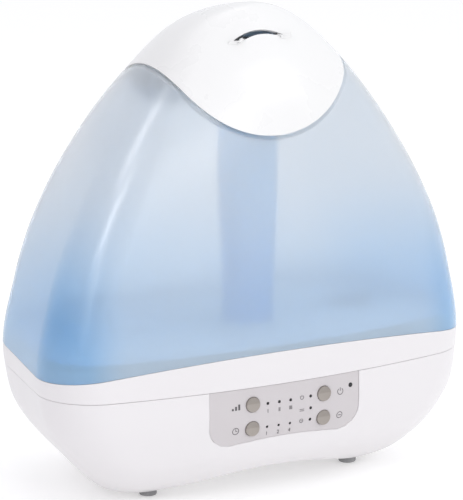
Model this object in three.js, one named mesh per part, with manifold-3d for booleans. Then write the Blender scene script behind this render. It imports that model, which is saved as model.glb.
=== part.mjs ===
// Cool mist humidifier: a bowl-shaped base, a lift-off translucent tank and a domed mist cap.
// Millimetres, +Z up, front towards -Y. The origin is on the ground, under the middle of the body.

import * as THREE from 'three';
import { mergeVertices } from 'three/addons/utils/BufferGeometryUtils.js';
import Module from 'manifold-3d';

const wasm = await Module();
wasm.setup();

// ---------------------------------------------------------------- driving dimensions

const GAP = 0.3;                  // clearance left between pieces that touch
const HEIGHT = 330;               // ground to the crown of the cap
const HALF_WIDTH = 159.5;         // at the parting line, the widest level
const FRONT_Y = -87;
const BACK_Y = 87;
const BOTTOM_Z = 3;               // underside of the housing, on its feet
const CROWN_Z = 329.9;            // the flat spot that closes the crown
const PARTING_Z = 79.5;           // joint between the lower housing and the base deck

// The body's profile: height, half width, front and back, from the underside to the crown.
const STATIONS = [
  [3, 102, -48, 47.5], [9.5, 113, -62, 52], [21, 127, -75, 63], [49, 151, -86, 80.5],
  [PARTING_Z, HALF_WIDTH, FRONT_Y, BACK_Y], [140, 152.3, -85, 81], [197.5, 132, -82, 71],
  [248, 105, -77, 56], [286, 76.4, -67, 36], [314, 47.4, -49, 12.8], [HEIGHT, 0, -34, -34],
];
const LEVELS = [3, 8, 15, 26, 40, 58, 79.5, 106, 135, 165, 195, 223, 248, 269, 287, 302, 314, 323, 328];

// The plan outline at the parting line: a wide front, sides closing in towards the back.
const FRONT_RADIUS = 660;
const FRONT_CORNER = 39;
const BACK_CORNER = 51;
const SIDE_CONVERGENCE = THREE.MathUtils.degToRad(12);
const OUTLINE_STEPS = { front: 3, frontCorner: 4, side: 2, backCorner: 3, back: 2 };
const ROUNDING = { from: 167, to: HEIGHT, most: 0.73 };   // the plan turns oval towards the crown

const WALL = 2.5;                 // moulded shells
const SEAM = { z: 102, radius: 1250 };        // arched joint between the base deck and the tank
const CAP_EDGE = { z: 324, radius: 76 };      // the round edge of the mist cap, seen from the front
const CAP_WALL = 2.3;
const MOUTH = { halfWidth: 19, endZ: 308.4, upperZ: 314.6, lowerZ: 311.8 };   // mid-height edges
const ARCH = { z: 18.5, radius: 222.5 };      // the arch under the housing, seen from the front
const CROWN_TOP_Z = 284;          // flat top of the tank, under the cap

const DUCT = { x: 0, y: -34, lowRadius: 17.5, highRadius: 20.5, wall: 2, z0: 99, z1: 281 };
const TANK_FLOOR = { z0: 105, z1: 108 };
const FILL = { x: 92, y: -12, neckRadius: 22, neckBore: 19.5, neckZ: 96 };

const BASIN = { x0: -30, x1: 122, y0: -58, y1: 22, floorZ: 64.5, corner: 18, wall: 2.5 };
const DECK = { z0: 88, z1: 91 };
const FLOAT = { x: 42, y: -38, postRadius: 2.6, topZ: 86 };
const FAN = { x: 18, y: 14, radius: 30, z0: 22, z1: 46 };
const AIR_DUCT = { x: 18, y: 34, width: 22, depth: 13, wall: 1.6 };

const PANEL = { width: 117, sideZ: 39, middleZ: 42.5, corner: 16, recess: 0.6, thickness: 2.4 };
const BUTTON = { radius: 5.15, length: 7.2, proud: 0.9, xs: [-26, 29.6], zs: [67.7, 50.8] };
const LIGHT_LENGTH = 3.4;
const CONTROL_BOARD = { width: 108, z0: 44, z1: 76, y: -72.5, thickness: 1.6 };

const LIGHTS = {
  xs: [-14.6, -5.7, 3.1], modeZ: 67.1, timerZ: 50.6, statusX: 19, statusZs: [67.5, 59.2, 51],
};
const SENSOR = { x: 51.5, z: 70.4, radius: 1.55 };

const SCREWS = [[-92, -12], [92, -12], [-84, 22], [84, 22]];
const FEET = [[-79, -36], [79, -36], [-62, 34], [62, 34]];
const FOOT_RADIUS = 6;
const GLAND = { x: -55, z: 52, neck: 4.5, flange: 8 };

// ---------------------------------------------------------------- materials

function material(color, roughness, metalness = 0) {
  return new THREE.MeshStandardMaterial({ color, roughness, metalness });
}
const whitePlastic = material(0xf2efee, 0.35);
const tankPlastic = new THREE.MeshStandardMaterial({
  color: 0xc3d6ea, roughness: 0.3, metalness: 0, transparent: true, opacity: 0.6,
});
const ductPlastic = material(0x8db6e0, 0.3);
const panelPlastic = material(0xdad6d8, 0.45);
const buttonPlastic = material(0xb8b0a8, 0.5);
const lightPlastic = material(0x1c1c1e, 0.25);
const innerPlastic = material(0xe4e4e2, 0.5);
const greyRubber = material(0x8a8a8c, 0.85);
const boardLaminate = material(0x2f6b45, 0.55);
const steel = material(0xb9bcc0, 0.3, 1);
const aluminium = material(0xc6c9cc, 0.4, 1);
const ceramicBrass = material(0xc9a858, 0.35, 1);
const copperCoil = material(0x8d5a3a, 0.5, 0.4);

// ---------------------------------------------------------------- solids

// A closed geometry becomes a solid: shared vertices merged, folded faces dropped, faces outward.
function toSolid(geometry) {
  const bare = geometry.clone();
  for (const name of Object.keys(bare.attributes)) {
    if (name !== 'position') bare.deleteAttribute(name);
  }
  const merged = mergeVertices(bare, 1e-4);
  const points = merged.attributes.position.array;
  const corner = (i) => new THREE.Vector3().fromArray(points, 3 * i);
  const faces = [];
  let volume = 0;
  for (let i = 0; i < merged.index.count; i += 3) {
    const [a, b, c] = [0, 1, 2].map((k) => merged.index.getX(i + k));
    if (a === b || b === c || c === a) continue;
    faces.push([a, b, c]);
    volume += corner(a).dot(corner(b).cross(corner(c)));
  }
  const ordered = volume > 0 ? faces : faces.map(([a, b, c]) => [a, c, b]);
  return new wasm.Manifold(new wasm.Mesh({
    numProp: 3,
    vertProperties: new Float32Array(points),
    triVerts: new Uint32Array(ordered.flat()),
  }));
}

function toGeometry(solid) {
  const mesh = solid.getMesh();
  const geometry = new THREE.BufferGeometry();
  geometry.setAttribute('position', new THREE.BufferAttribute(new Float32Array(mesh.vertProperties), 3));
  geometry.setIndex(new THREE.BufferAttribute(new Uint32Array(mesh.triVerts), 1));
  geometry.computeVertexNormals();
  return geometry;
}

const union = (first, ...rest) => rest.reduce((sum, solid) => sum.add(solid), first);
const cut = (first, ...rest) => rest.reduce((left, solid) => left.subtract(solid), first);

// An upright cylinder from z0 to z1.
function post(radius, x, y, z0, z1, sides = 20) {
  const geometry = new THREE.CylinderGeometry(radius, radius, z1 - z0, sides);
  return toSolid(geometry.rotateX(Math.PI / 2).translate(x, y, (z0 + z1) / 2));
}

// A cylinder along Y from y0 to y1.
function rod(radius, x, z, y0, y1, sides = 16) {
  const geometry = new THREE.CylinderGeometry(radius, radius, y1 - y0, sides);
  return toSolid(geometry.translate(x, (y0 + y1) / 2, z));
}

function block(x0, x1, y0, y1, z0, z1) {
  const geometry = new THREE.BoxGeometry(x1 - x0, y1 - y0, z1 - z0);
  return toSolid(geometry.translate((x0 + x1) / 2, (y0 + y1) / 2, (z0 + z1) / 2));
}

// A closed profile of [radius, height] turned about the upright axis through x, y.
function turned(profile, x, y, sides = 24) {
  const points = [...profile, profile[0]].map(([r, z]) => new THREE.Vector2(r, z));
  return toSolid(new THREE.LatheGeometry(points, sides).rotateX(Math.PI / 2).translate(x, y, 0));
}

function ring(outer, inner, x, y, z0, z1, sides = 24) {
  return turned([[inner, z0], [outer, z0], [outer, z1], [inner, z1]], x, y, sides);
}

// A front-view shape (x, z) carried through from y0 back to y1.
function frontCut(shape, y0, y1, curveSegments = 10) {
  const geometry = new THREE.ExtrudeGeometry(shape, {
    depth: y1 - y0, bevelEnabled: false, steps: 1, curveSegments,
  });
  return toSolid(geometry.rotateX(Math.PI / 2).translate(0, y1, 0));
}

// A plan-view shape (x, y) carried up from z0 to z1.
function planCut(shape, z0, z1, curveSegments = 5) {
  const geometry = new THREE.ExtrudeGeometry(shape, {
    depth: z1 - z0, bevelEnabled: false, steps: 1, curveSegments,
  });
  return toSolid(geometry.translate(0, 0, z0));
}

function roundedRectangle(x0, x1, y0, y1, radius) {
  const shape = new THREE.Shape();
  shape.absarc(x1 - radius, y0 + radius, radius, -Math.PI / 2, 0);
  shape.absarc(x1 - radius, y1 - radius, radius, 0, Math.PI / 2);
  shape.absarc(x0 + radius, y1 - radius, radius, Math.PI / 2, Math.PI);
  shape.absarc(x0 + radius, y0 + radius, radius, Math.PI, 1.5 * Math.PI);
  shape.closePath();
  return shape;
}

// ---------------------------------------------------------------- the body's form

// Seen against the square root of the depth below the crown, the profile is nearly straight, so
// the stations are joined by a smooth cubic in that measure and the crown comes out round.
const depthMeasure = (z) => Math.sqrt(Math.max(0, 1 - z / HEIGHT));
const KNOTS = STATIONS.map(([z, ...sizes]) => [depthMeasure(z), ...sizes]).sort((a, b) => a[0] - b[0]);

function knotSlope(j, k) {
  const rise = (i) => (KNOTS[i + 1][k] - KNOTS[i][k]) / (KNOTS[i + 1][0] - KNOTS[i][0]);
  if (j === 0) return rise(0);
  if (j === KNOTS.length - 1) return rise(j - 1);
  const before = KNOTS[j][0] - KNOTS[j - 1][0];
  const after = KNOTS[j + 1][0] - KNOTS[j][0];
  return (rise(j - 1) * after + rise(j) * before) / (before + after);
}

// Half width, front and back of the body at a height.
function sizesAt(z) {
  const w = depthMeasure(z);
  let i = 0;
  while (i < KNOTS.length - 2 && w > KNOTS[i + 1][0]) i += 1;
  const span = KNOTS[i + 1][0] - KNOTS[i][0];
  const u = (w - KNOTS[i][0]) / span;
  return [1, 2, 3].map((k) => {
    const [p0, p1] = [KNOTS[i][k], KNOTS[i + 1][k]];
    const [m0, m1] = [knotSlope(i, k) * span, knotSlope(i + 1, k) * span];
    return (2 * u ** 3 - 3 * u ** 2 + 1) * p0 + (u ** 3 - 2 * u ** 2 + u) * m0
      + (3 * u ** 2 - 2 * u ** 3) * p1 + (u ** 3 - u ** 2) * m1;
  });
}

function arcPoints(cx, cy, radius, from, to, steps) {
  const points = [];
  for (let i = 0; i < steps; i += 1) {
    const angle = from + ((to - from) * i) / steps;
    points.push([cx + radius * Math.sin(angle), cy - radius * Math.cos(angle)]);
  }
  return points;
}

// The plan outline at the parting line, from the middle of the front round through +X.
function planOutline() {
  const { front, frontCorner, side, backCorner, back } = OUTLINE_STEPS;
  const frontTurn = Math.asin((HALF_WIDTH - FRONT_CORNER) / (FRONT_RADIUS - FRONT_CORNER));
  const sideTurn = Math.PI / 2 + SIDE_CONVERGENCE;
  const frontCentreY = FRONT_Y + FRONT_RADIUS;
  const cornerX = HALF_WIDTH - FRONT_CORNER;
  const cornerY = frontCentreY - (FRONT_RADIUS - FRONT_CORNER) * Math.cos(frontTurn);
  const sideX = cornerX + FRONT_CORNER * Math.sin(sideTurn);
  const sideY = cornerY - FRONT_CORNER * Math.cos(sideTurn);
  const backCentreY = BACK_Y - BACK_CORNER;
  const backSideY = backCentreY - BACK_CORNER * Math.cos(sideTurn);
  const backSideX = sideX - (backSideY - sideY) * Math.tan(SIDE_CONVERGENCE);
  const backCentreX = backSideX - BACK_CORNER * Math.sin(sideTurn);
  const half = [
    ...arcPoints(0, frontCentreY, FRONT_RADIUS, 0, frontTurn, front),
    ...arcPoints(cornerX, cornerY, FRONT_CORNER, frontTurn, sideTurn, frontCorner),
  ];
  for (let i = 0; i < side; i += 1) {
    const t = i / side;
    half.push([sideX + (backSideX - sideX) * t, sideY + (backSideY - sideY) * t]);
  }
  half.push(...arcPoints(backCentreX, backCentreY, BACK_CORNER, sideTurn, Math.PI, backCorner));
  for (let i = 0; i <= back; i += 1) half.push([backCentreX * (1 - i / back), BACK_Y]);
  const otherHalf = half.slice(1, -1).reverse().map(([x, y]) => [-x, y]);
  return [...half, ...otherHalf];
}
const OUTLINE = planOutline();
const OUTLINE_HALF = OUTLINE.length / 2;

// The outline at a height, drawn in by an inset: the crown comes down as far as the walls come in.
function sectionAt(z, inset = 0) {
  const level = Math.min((z * HEIGHT) / (HEIGHT - inset), CROWN_Z + 0.08);
  const [halfWidth, front, back] = sizesAt(level);
  const t = THREE.MathUtils.smoothstep(level, ROUNDING.from, ROUNDING.to) * ROUNDING.most;
  const halfDepth = (BACK_Y - FRONT_Y) / 2;
  const reachX = Math.max(halfWidth - inset, 0.5);
  const reachY = Math.max((back - front) / 2 - inset, 0.5);
  return OUTLINE.map(([x, y]) => {
    const [ux, uy] = [x / HALF_WIDTH, (y - (FRONT_Y + BACK_Y) / 2) / halfDepth];
    const length = Math.hypot(ux, uy);
    const [ox, oy] = [ux * (1 - t + t / length), uy * (1 - t + t / length)];
    return [ox * reachX, (front + back) / 2 + oy * reachY];
  });
}

// The body between two heights: a cylinder whose rings are reshaped to the sections.
function body(z0, z1, inset = 0) {
  const heights = [z0, ...LEVELS.filter((z) => z > z0 + 0.4 && z < z1 - 0.4), z1];
  const sections = heights.map((z) => sectionAt(z, inset));
  const sides = OUTLINE.length;
  const geometry = new THREE.CylinderGeometry(1, 1, 1, sides, heights.length - 1);
  const position = geometry.attributes.position;
  for (let i = 0; i < position.count; i += 1) {
    const [px, py, pz] = [position.getX(i), position.getY(i), position.getZ(i)];
    const level = Math.round((py + 0.5) * (heights.length - 1));
    const section = sections[level];
    const angle = Math.atan2(px, pz);
    const index = (Math.round((angle / (2 * Math.PI)) * sides) + sides) % sides;
    const onAxis = Math.hypot(px, pz) < 0.5;
    const middleY = (section[0][1] + section[OUTLINE_HALF][1]) / 2;
    const [x, y] = onAxis ? [0, middleY] : section[index];
    position.setXYZ(i, x, y, heights[level]);
  }
  return toSolid(geometry);
}

// The front face's y at a place in the front view.
function frontFaceY(x, z) {
  const section = sectionAt(z);
  for (let i = 0; i < OUTLINE_HALF; i += 1) {
    const [[x0, y0], [x1, y1]] = [section[i], section[i + 1]];
    const t = (Math.abs(x) - x0) / (x1 - x0);
    if (t >= 0 && t <= 1) return y0 + (y1 - y0) * t;
  }
  throw new Error('no front face there');
}

const REACH = 175;                // past every side of the body

// Everything under the arched seam between the base deck and the tank.
function underSeam(lift) {
  const steps = 14;
  const shape = new THREE.Shape();
  shape.moveTo(-REACH, -10);
  shape.lineTo(REACH, -10);
  for (let i = 0; i <= steps; i += 1) {
    const x = REACH - (2 * REACH * i) / steps;
    shape.lineTo(x, SEAM.z + lift - SEAM.radius + Math.sqrt(SEAM.radius ** 2 - x ** 2));
  }
  return frontCut(shape, -REACH, REACH);
}

// Everything inside the cap's round edge and above it.
function insideCapEdge(extra) {
  const radius = CAP_EDGE.radius + extra;
  return rod(radius, 0, CAP_EDGE.z, -REACH, REACH, 48);
}

// Everything under the arch of the housing.
function underArch(lift) {
  return rod(ARCH.radius + lift, 0, ARCH.z - ARCH.radius, -REACH, REACH, 72);
}

// ---------------------------------------------------------------- base: shells

// The panel's outline in the front view: straight sides, round lower corners, an arched lower edge.
function panelShape(shrink) {
  const half = PANEL.width / 2 - shrink;
  const low = PANEL.sideZ + shrink;
  const shape = new THREE.Shape();
  shape.moveTo(half, PARTING_Z + 10);
  shape.lineTo(-half, PARTING_Z + 10);
  shape.lineTo(-half, low + PANEL.corner);
  shape.quadraticCurveTo(-half, low, -half + PANEL.corner, low + 0.9);
  shape.quadraticCurveTo(0, 2 * (PANEL.middleZ + shrink) - low - 0.9, half - PANEL.corner, low + 0.9);
  shape.quadraticCurveTo(half, low, half, low + PANEL.corner);
  shape.closePath();
  return shape;
}

function lowerHousing() {
  const top = PARTING_Z - GAP / 2;
  const hollow = cut(body(BOTTOM_Z + 3, top + 5, WALL), underArch(WALL));
  let shell = cut(cut(body(BOTTOM_Z, top), underArch(0)), hollow);
  const inside = body(BOTTOM_Z, 60, 1);
  for (const [x, y] of FEET) {
    shell = shell.add(post(FOOT_RADIUS + 3, x, y, BOTTOM_Z + 2, 9).intersect(inside));
  }
  for (const [x, y] of SCREWS) {
    shell = shell.add(post(6.5, x, y, BOTTOM_Z + 1.5, 23.7).intersect(inside));
  }
  const glandFace = rod(GLAND.flange + 2.5, GLAND.x, GLAND.z, 74, 84.2, 24);
  shell = shell.add(glandFace);
  for (const [x, y] of FEET) shell = cut(shell, post(FOOT_RADIUS + GAP, x, y, 0, 5.8));
  for (const [x, y] of SCREWS) {
    shell = cut(shell, post(4, x, y, 0, 13, 16), post(2, x, y, 10, 30, 16));
  }
  shell = cut(shell, frontCut(panelShape(0), -REACH, -60, 6));
  shell = cut(shell, rod(GLAND.neck + GAP, GLAND.x, GLAND.z, 60, 100));
  return cut(shell, post(26, FAN.x, FAN.y, 10, 30, 28));
}

function basinShape(grow) {
  const { x0, x1, y0, y1, corner } = BASIN;
  return roundedRectangle(x0 - grow, x1 + grow, y0 - grow, y1 + grow, corner + grow);
}

function baseDeck() {
  const lowest = PARTING_Z + GAP / 2;
  let deck = body(lowest, 110).intersect(underSeam(-GAP / 2));
  deck = cut(deck, body(DECK.z1, 112, WALL + 0.7), body(lowest - 4, DECK.z0, WALL + 0.7));
  const well = body(40, 120, WALL + 1.2);
  const basinWall = planCut(basinShape(BASIN.wall), BASIN.floorZ - BASIN.wall, DECK.z1).intersect(well);
  const collar = post(17, DUCT.x, DUCT.y, 52, BASIN.floorZ - 1);
  const riser = block(...airDuctSpan(0), DECK.z0 + 1, 98);
  deck = union(deck, basinWall, collar, riser);
  for (const [x, y] of SCREWS) {
    const top = x > 0 && y < BASIN.y1 ? BASIN.floorZ - 1 : DECK.z0 + 1;
    deck = deck.add(post(4, x, y, 24, top, 16));
  }
  const insideBasin = planCut(basinShape(0), BASIN.floorZ, 130).intersect(body(40, 140, WALL + 3.6));
  deck = cut(deck, insideBasin, block(...airDuctSpan(-AIR_DUCT.wall), 80, 120));
  const valvePost = post(2.2, FILL.x, FILL.y, BASIN.floorZ - 1, 77.7, 12);
  const floatPost = post(FLOAT.postRadius, FLOAT.x, FLOAT.y, BASIN.floorZ - 1, FLOAT.topZ, 12);
  deck = union(deck, valvePost, floatPost);
  deck = cut(deck, post(8, DUCT.x, DUCT.y, 50, 70), post(13.3, DUCT.x, DUCT.y, 50, BASIN.floorZ - 2.5));
  for (const [x, y] of SCREWS) deck = cut(deck, post(1.6 + GAP, x, y, 20, 46, 12));
  return deck;
}

function airDuctSpan(grow) {
  const { x, y, width, depth } = AIR_DUCT;
  return [x - width / 2 - grow, x + width / 2 + grow, y - depth / 2 - grow, y + depth / 2 + grow];
}

// A round-headed screw from the housing's underside up into the deck's boss.
function housingScrew([x, y]) {
  const head = [[0, 9.9], [2.4, 10.1], [3.3, 11.2], [3.3, 12.7]];
  const shank = [[1.6, 12.7], [1.6, 43], [0, 44.5]];
  return turned([...head, ...shank], x, y, 12);
}

function rubberFoot([x, y]) {
  const [r, height, chamfer] = [FOOT_RADIUS, 5.5, 0.8];
  return turned([[0, 0], [r - chamfer, 0], [r, chamfer], [r, height], [0, height]], x, y, 14);
}

function intakeGrille() {
  const disc = post(26 - GAP, FAN.x, FAN.y, 8, 26, 28);
  const [slotReach, pitch, halfSlot] = [22.5, 6, 1.7];
  let grille = cut(disc.intersect(underArch(WALL - 0.2)), underArch(0.2));
  for (let i = -3; i <= 3; i += 1) {
    const reach = Math.sqrt(slotReach ** 2 - (i * pitch) ** 2);
    const y = FAN.y + i * pitch;
    grille = cut(grille, block(FAN.x - reach, FAN.x + reach, y - halfSlot, y + halfSlot, 5, 30));
  }
  return grille;
}

function cordGland() {
  const profile = [[2.2, 78], [GLAND.neck, 78], [GLAND.neck, 84.6], [GLAND.flange, 84.6],
    [GLAND.flange, 85.8], [5.5, 86.8], [2.2, 86.8]];
  const points = [...profile, profile[0]].map(([r, y]) => new THREE.Vector2(r, y));
  return toSolid(new THREE.LatheGeometry(points, 20).translate(GLAND.x, 0, GLAND.z));
}

// ---------------------------------------------------------------- base: control panel

function controls() {
  const found = [];
  BUTTON.xs.forEach((x, column) => BUTTON.zs.forEach((z, row) => {
    const name = `${['left', 'right'][column]}_${['upper', 'lower'][row]}_button`;
    found.push({ name, x, z, ...BUTTON, sides: 18 });
  }));
  const dot = (name, x, z, radius) => {
    found.push({ name, x, z, radius, proud: -PANEL.recess - 0.1, length: LIGHT_LENGTH, sides: 8 });
  };
  LIGHTS.xs.forEach((x, i) => {
    dot(`mode_light_${i + 1}`, x, LIGHTS.modeZ, 1);
    dot(`timer_light_${i + 1}`, x, LIGHTS.timerZ, 0.85);
  });
  LIGHTS.statusZs.forEach((z, i) => dot(`status_light_${i + 1}`, LIGHTS.statusX, z, 1));
  dot('sensor_window', SENSOR.x, SENSOR.z, SENSOR.radius);
  return found;
}

function controlPiece({ x, z, radius, proud, length, sides }) {
  const face = frontFaceY(x, z) - proud;
  return rod(radius, x, z, face, face + length, sides);
}

function controlPanel() {
  const outer = body(BOTTOM_Z, PARTING_Z - GAP / 2, PANEL.recess);
  const inner = body(BOTTOM_Z, PARTING_Z + 5, PANEL.recess + PANEL.thickness);
  let panel = cut(outer, inner).intersect(frontCut(panelShape(0.4), -REACH, -60, 6));
  for (const piece of controls()) {
    panel = cut(panel, rod(piece.radius + GAP, piece.x, piece.z, -100, -60, piece.sides));
  }
  return panel;
}

function controlBoard() {
  const { width, z0, z1, y, thickness } = CONTROL_BOARD;
  let board = block(-width / 2, width / 2, y, y + thickness, z0, z1);
  for (const x of BUTTON.xs) {
    for (const z of BUTTON.zs) board = board.add(block(x - 3, x + 3, y - 2, y + 0.5, z - 3, z + 3));
  }
  return board;
}

// ---------------------------------------------------------------- base: inner works

function fanHousing() {
  const { x, y, radius, z0, z1 } = FAN;
  const can = cut(post(radius, x, y, z0, z1, 32), post(radius - 2, x, y, z0 - 1, z1 - 2, 32));
  const motor = post(8, x, y, z0 + 8, z1 - 1, 20);
  return cut(can.add(motor), block(...airDuctSpan(-AIR_DUCT.wall), z1 - 5, z1 + 5));
}

// A blower wheel: a closed hub over the motor, a backing disc and upright blades under it.
function fanImpeller() {
  const { x, y, z0 } = FAN;
  const [hub, hubBore, rim, blades] = [11, 8.6, 26, 14];
  let wheel = union(ring(hub, hubBore, x, y, z0 + 5, z0 + 19), post(hub, x, y, z0 + 5, z0 + 7.5, 24));
  wheel = wheel.add(ring(rim, hubBore, x, y, z0 + 17, z0 + 19, 28));
  for (let i = 0; i < blades; i += 1) {
    const geometry = new THREE.BoxGeometry(7.5, 1.2, 16).translate(rim - 4.5, 0, 0);
    geometry.rotateZ((2 * Math.PI * i) / blades).translate(x, y, z0 + 10);
    wheel = wheel.add(toSolid(geometry));
  }
  return wheel;
}

function airDuct() {
  const outer = block(...airDuctSpan(0), FAN.z1 + GAP, DECK.z0 - GAP);
  return cut(outer, block(...airDuctSpan(-AIR_DUCT.wall), 30, 100));
}

function mainBoard() {
  let board = block(-73, -23, -47, 23, 24, 25.6);
  board = union(board, block(-70, -56, -44, -34, 25, 37), post(5, -34, -38, 25, 41, 14));
  return union(board, post(5, -34, -25, 25, 38, 14), block(-70, -62, 8, 20, 25, 35));
}

// Winding between the two cheeks of its core.
function transformer() {
  const core = union(block(-62, -36, -16, -12, 26, 46), block(-62, -36, 0, 4, 26, 46));
  const limb = block(-54, -44, -13, 1, 30, 42);
  const winding = roundedRectangle(-59, -39, -11.5, -0.5, 4);
  return union(core, limb, planCut(winding, 29, 44, 3));
}

function driverHeatSink() {
  let sink = block(-58, -30, 10, 13, 26, 50);
  const [fins, pitch, fin] = [5, 6.6, 1.6];
  for (let i = 0; i < fins; i += 1) {
    const x = -58 + i * pitch;
    sink = sink.add(block(x, x + fin, 12, 21, 26, 50));
  }
  return sink;
}

function transducerDisc() {
  return post(10, DUCT.x, DUCT.y, 58.2, 59.5);
}

function transducerSeal() {
  const profile = [[10.3, 57.5], [13, 57.5], [13, 61.7], [8.4, 61.7], [8.4, 59.8], [10.3, 59.8]];
  return turned(profile, DUCT.x, DUCT.y);
}

function transducerPlate() {
  return ring(13, 6.5, DUCT.x, DUCT.y, 54.5, 57.2);
}

function floatRing() {
  const z = BASIN.floorZ + 0.6;
  const bore = FLOAT.postRadius + 0.5;
  const outside = [[8, z], [9.5, z + 1.5], [9.5, z + 7], [8, z + 8.5]];
  return turned([[bore, z], ...outside, [bore, z + 8.5]], FLOAT.x, FLOAT.y);
}

function floatRetainer() {
  const z = FLOAT.topZ + GAP;
  return turned([[0, z], [4.6, z], [4.6, z + 1.3], [3.4, z + 2.5], [0, z + 2.5]], FLOAT.x, FLOAT.y, 12);
}

// ---------------------------------------------------------------- tank

function tankShell() {
  const lowest = 80;
  const wall = cut(body(lowest, CROWN_Z), insideCapEdge(0.4), underSeam(GAP / 2));
  const neck = body(200, CROWN_TOP_Z, CAP_WALL + 0.4);
  const hollowWide = cut(body(lowest - 5, CROWN_Z, WALL), insideCapEdge(3));
  const hollowHigh = body(lowest - 5, CROWN_TOP_Z - WALL, CAP_WALL + 0.4 + WALL);
  const shell = cut(wall.add(neck), hollowWide, hollowHigh);
  return cut(shell, post(DUCT.highRadius - DUCT.wall, DUCT.x, DUCT.y, 270, 300, 28));
}

function tankFloor() {
  const { x, y, neckRadius, neckBore, neckZ } = FILL;
  let floor = body(TANK_FLOOR.z0, TANK_FLOOR.z1, WALL + 2 * GAP);
  floor = floor.add(post(neckRadius, x, y, neckZ, TANK_FLOOR.z0 + 1, 32));
  floor = floor.add(post(DUCT.lowRadius + 3, DUCT.x, DUCT.y, 99.5, TANK_FLOOR.z1 + 5, 28));
  floor = cut(floor, post(neckBore, x, y, 90, 112, 32));
  return cut(floor, post(DUCT.lowRadius + 0.2 + GAP, DUCT.x, DUCT.y, 90, 115, 28));
}

function mistDuct() {
  const { x, y, lowRadius, highRadius, wall, z0, z1 } = DUCT;
  const profile = [[lowRadius - wall, z0], [lowRadius, z0], [lowRadius, 130], [highRadius, 215],
    [highRadius, z1], [highRadius - wall, z1], [highRadius - wall, 215], [lowRadius - wall, 130]];
  return turned(profile, x, y, 28);
}

function ductSeal() {
  return ring(DUCT.highRadius + 3.5, DUCT.highRadius + GAP, DUCT.x, DUCT.y, 277, DUCT.z1);
}

function fillCap() {
  const { x, y, neckRadius } = FILL;
  const [outer, ribs, holeCircle] = [25, 12, 5.5];
  let cap = cut(post(outer, x, y, 90, 104.5, 36), post(neckRadius + 0.6, x, y, 92.5, 110, 32));
  for (let i = 0; i < ribs; i += 1) {
    const angle = (2 * Math.PI * i) / ribs;
    const [c, s] = [Math.cos(angle), Math.sin(angle)];
    cap = cap.add(post(1.3, x + outer * c, y + outer * s, 90, 103, 8));
    if (i % 3 === 0) cap = cut(cap, post(1.6, x + holeCircle * c, y + holeCircle * s, 80, 100, 10));
  }
  return cut(cap, post(2.5, x, y, 80, 100, 12));
}

function fillCapSeal() {
  return ring(22.2, 19.8, FILL.x, FILL.y, 92.8, 95.7, 28);
}

function valveStem() {
  const foot = [[0, 78], [5, 78], [5, 80], [2, 80]];
  const head = [[2, 92.8], [8, 92.8], [8, 94.6], [3, 95.8], [0, 95.8]];
  return turned([...foot, ...head], FILL.x, FILL.y, 16);
}

// The valve's coil spring, at its squeezed length between the stem's head and the fill cap.
function valveSpring() {
  class Coil extends THREE.Curve {
    getPoint(t) {
      const angle = 2 * Math.PI * 3 * t;
      return new THREE.Vector3(3.3 * Math.cos(angle), 3.3 * Math.sin(angle), 80.8 + 3.1 * t);
    }
  }
  const wire = new THREE.Shape();
  wire.absarc(0, 0, 0.38, 0, 2 * Math.PI);
  const geometry = new THREE.ExtrudeGeometry(wire, {
    steps: 36, curveSegments: 3, bevelEnabled: false, extrudePath: new Coil(),
  });
  return toSolid(geometry.translate(FILL.x, FILL.y, 0));
}

// ---------------------------------------------------------------- mist cap

// The mouth is a crescent seen from the front, under the crown.
function mouthShape() {
  const { halfWidth, endZ, upperZ, lowerZ } = MOUTH;
  const shape = new THREE.Shape();
  shape.moveTo(-halfWidth, endZ);
  shape.quadraticCurveTo(0, 2 * upperZ - endZ, halfWidth, endZ);
  shape.quadraticCurveTo(0, 2 * lowerZ - endZ, -halfWidth, endZ);
  return shape;
}

function topCap() {
  const outer = body(200, CROWN_Z).intersect(insideCapEdge(0));
  const hollow = body(190, CROWN_Z - CAP_WALL, CAP_WALL);
  return cut(cut(outer, hollow), frontCut(mouthShape(), -90, -38, 8));
}

function mistNozzle() {
  const z0 = CROWN_TOP_Z + 1.5;
  const profile = [[16.5, z0], [22, z0], [22, z0 + 1.6], [18.3, z0 + 1.6], [14.5, 305], [12.7, 305]];
  return turned(profile, DUCT.x, DUCT.y, 28);
}

// ---------------------------------------------------------------- assembly

const humidifier = new THREE.Group();

function add(parent, name, solid, finish) {
  const mesh = new THREE.Mesh(toGeometry(solid), finish);
  mesh.name = name;
  parent.add(mesh);
}

const base = new THREE.Group();
add(base, 'lower_housing', lowerHousing(), whitePlastic);
add(base, 'base_deck', baseDeck(), whitePlastic);
add(base, 'intake_grille', intakeGrille(), innerPlastic);
add(base, 'cord_gland', cordGland(), greyRubber);
add(base, 'control_panel', controlPanel(), panelPlastic);
add(base, 'control_board', controlBoard(), boardLaminate);
for (const piece of controls()) {
  add(base, piece.name, controlPiece(piece), piece.radius > 2 ? buttonPlastic : lightPlastic);
}
FEET.forEach((place, i) => add(base, `rubber_foot_${i + 1}`, rubberFoot(place), greyRubber));
SCREWS.forEach((place, i) => add(base, `housing_screw_${i + 1}`, housingScrew(place), steel));
add(base, 'fan_housing', fanHousing(), innerPlastic);
add(base, 'fan_impeller', fanImpeller(), innerPlastic);
add(base, 'air_duct', airDuct(), innerPlastic);
add(base, 'main_board', mainBoard(), boardLaminate);
add(base, 'transformer', transformer(), copperCoil);
add(base, 'driver_heat_sink', driverHeatSink(), aluminium);
add(base, 'transducer_disc', transducerDisc(), ceramicBrass);
add(base, 'transducer_seal', transducerSeal(), greyRubber);
add(base, 'transducer_plate', transducerPlate(), steel);
add(base, 'float_ring', floatRing(), innerPlastic);
add(base, 'float_retainer', floatRetainer(), innerPlastic);
humidifier.add(base);

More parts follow.
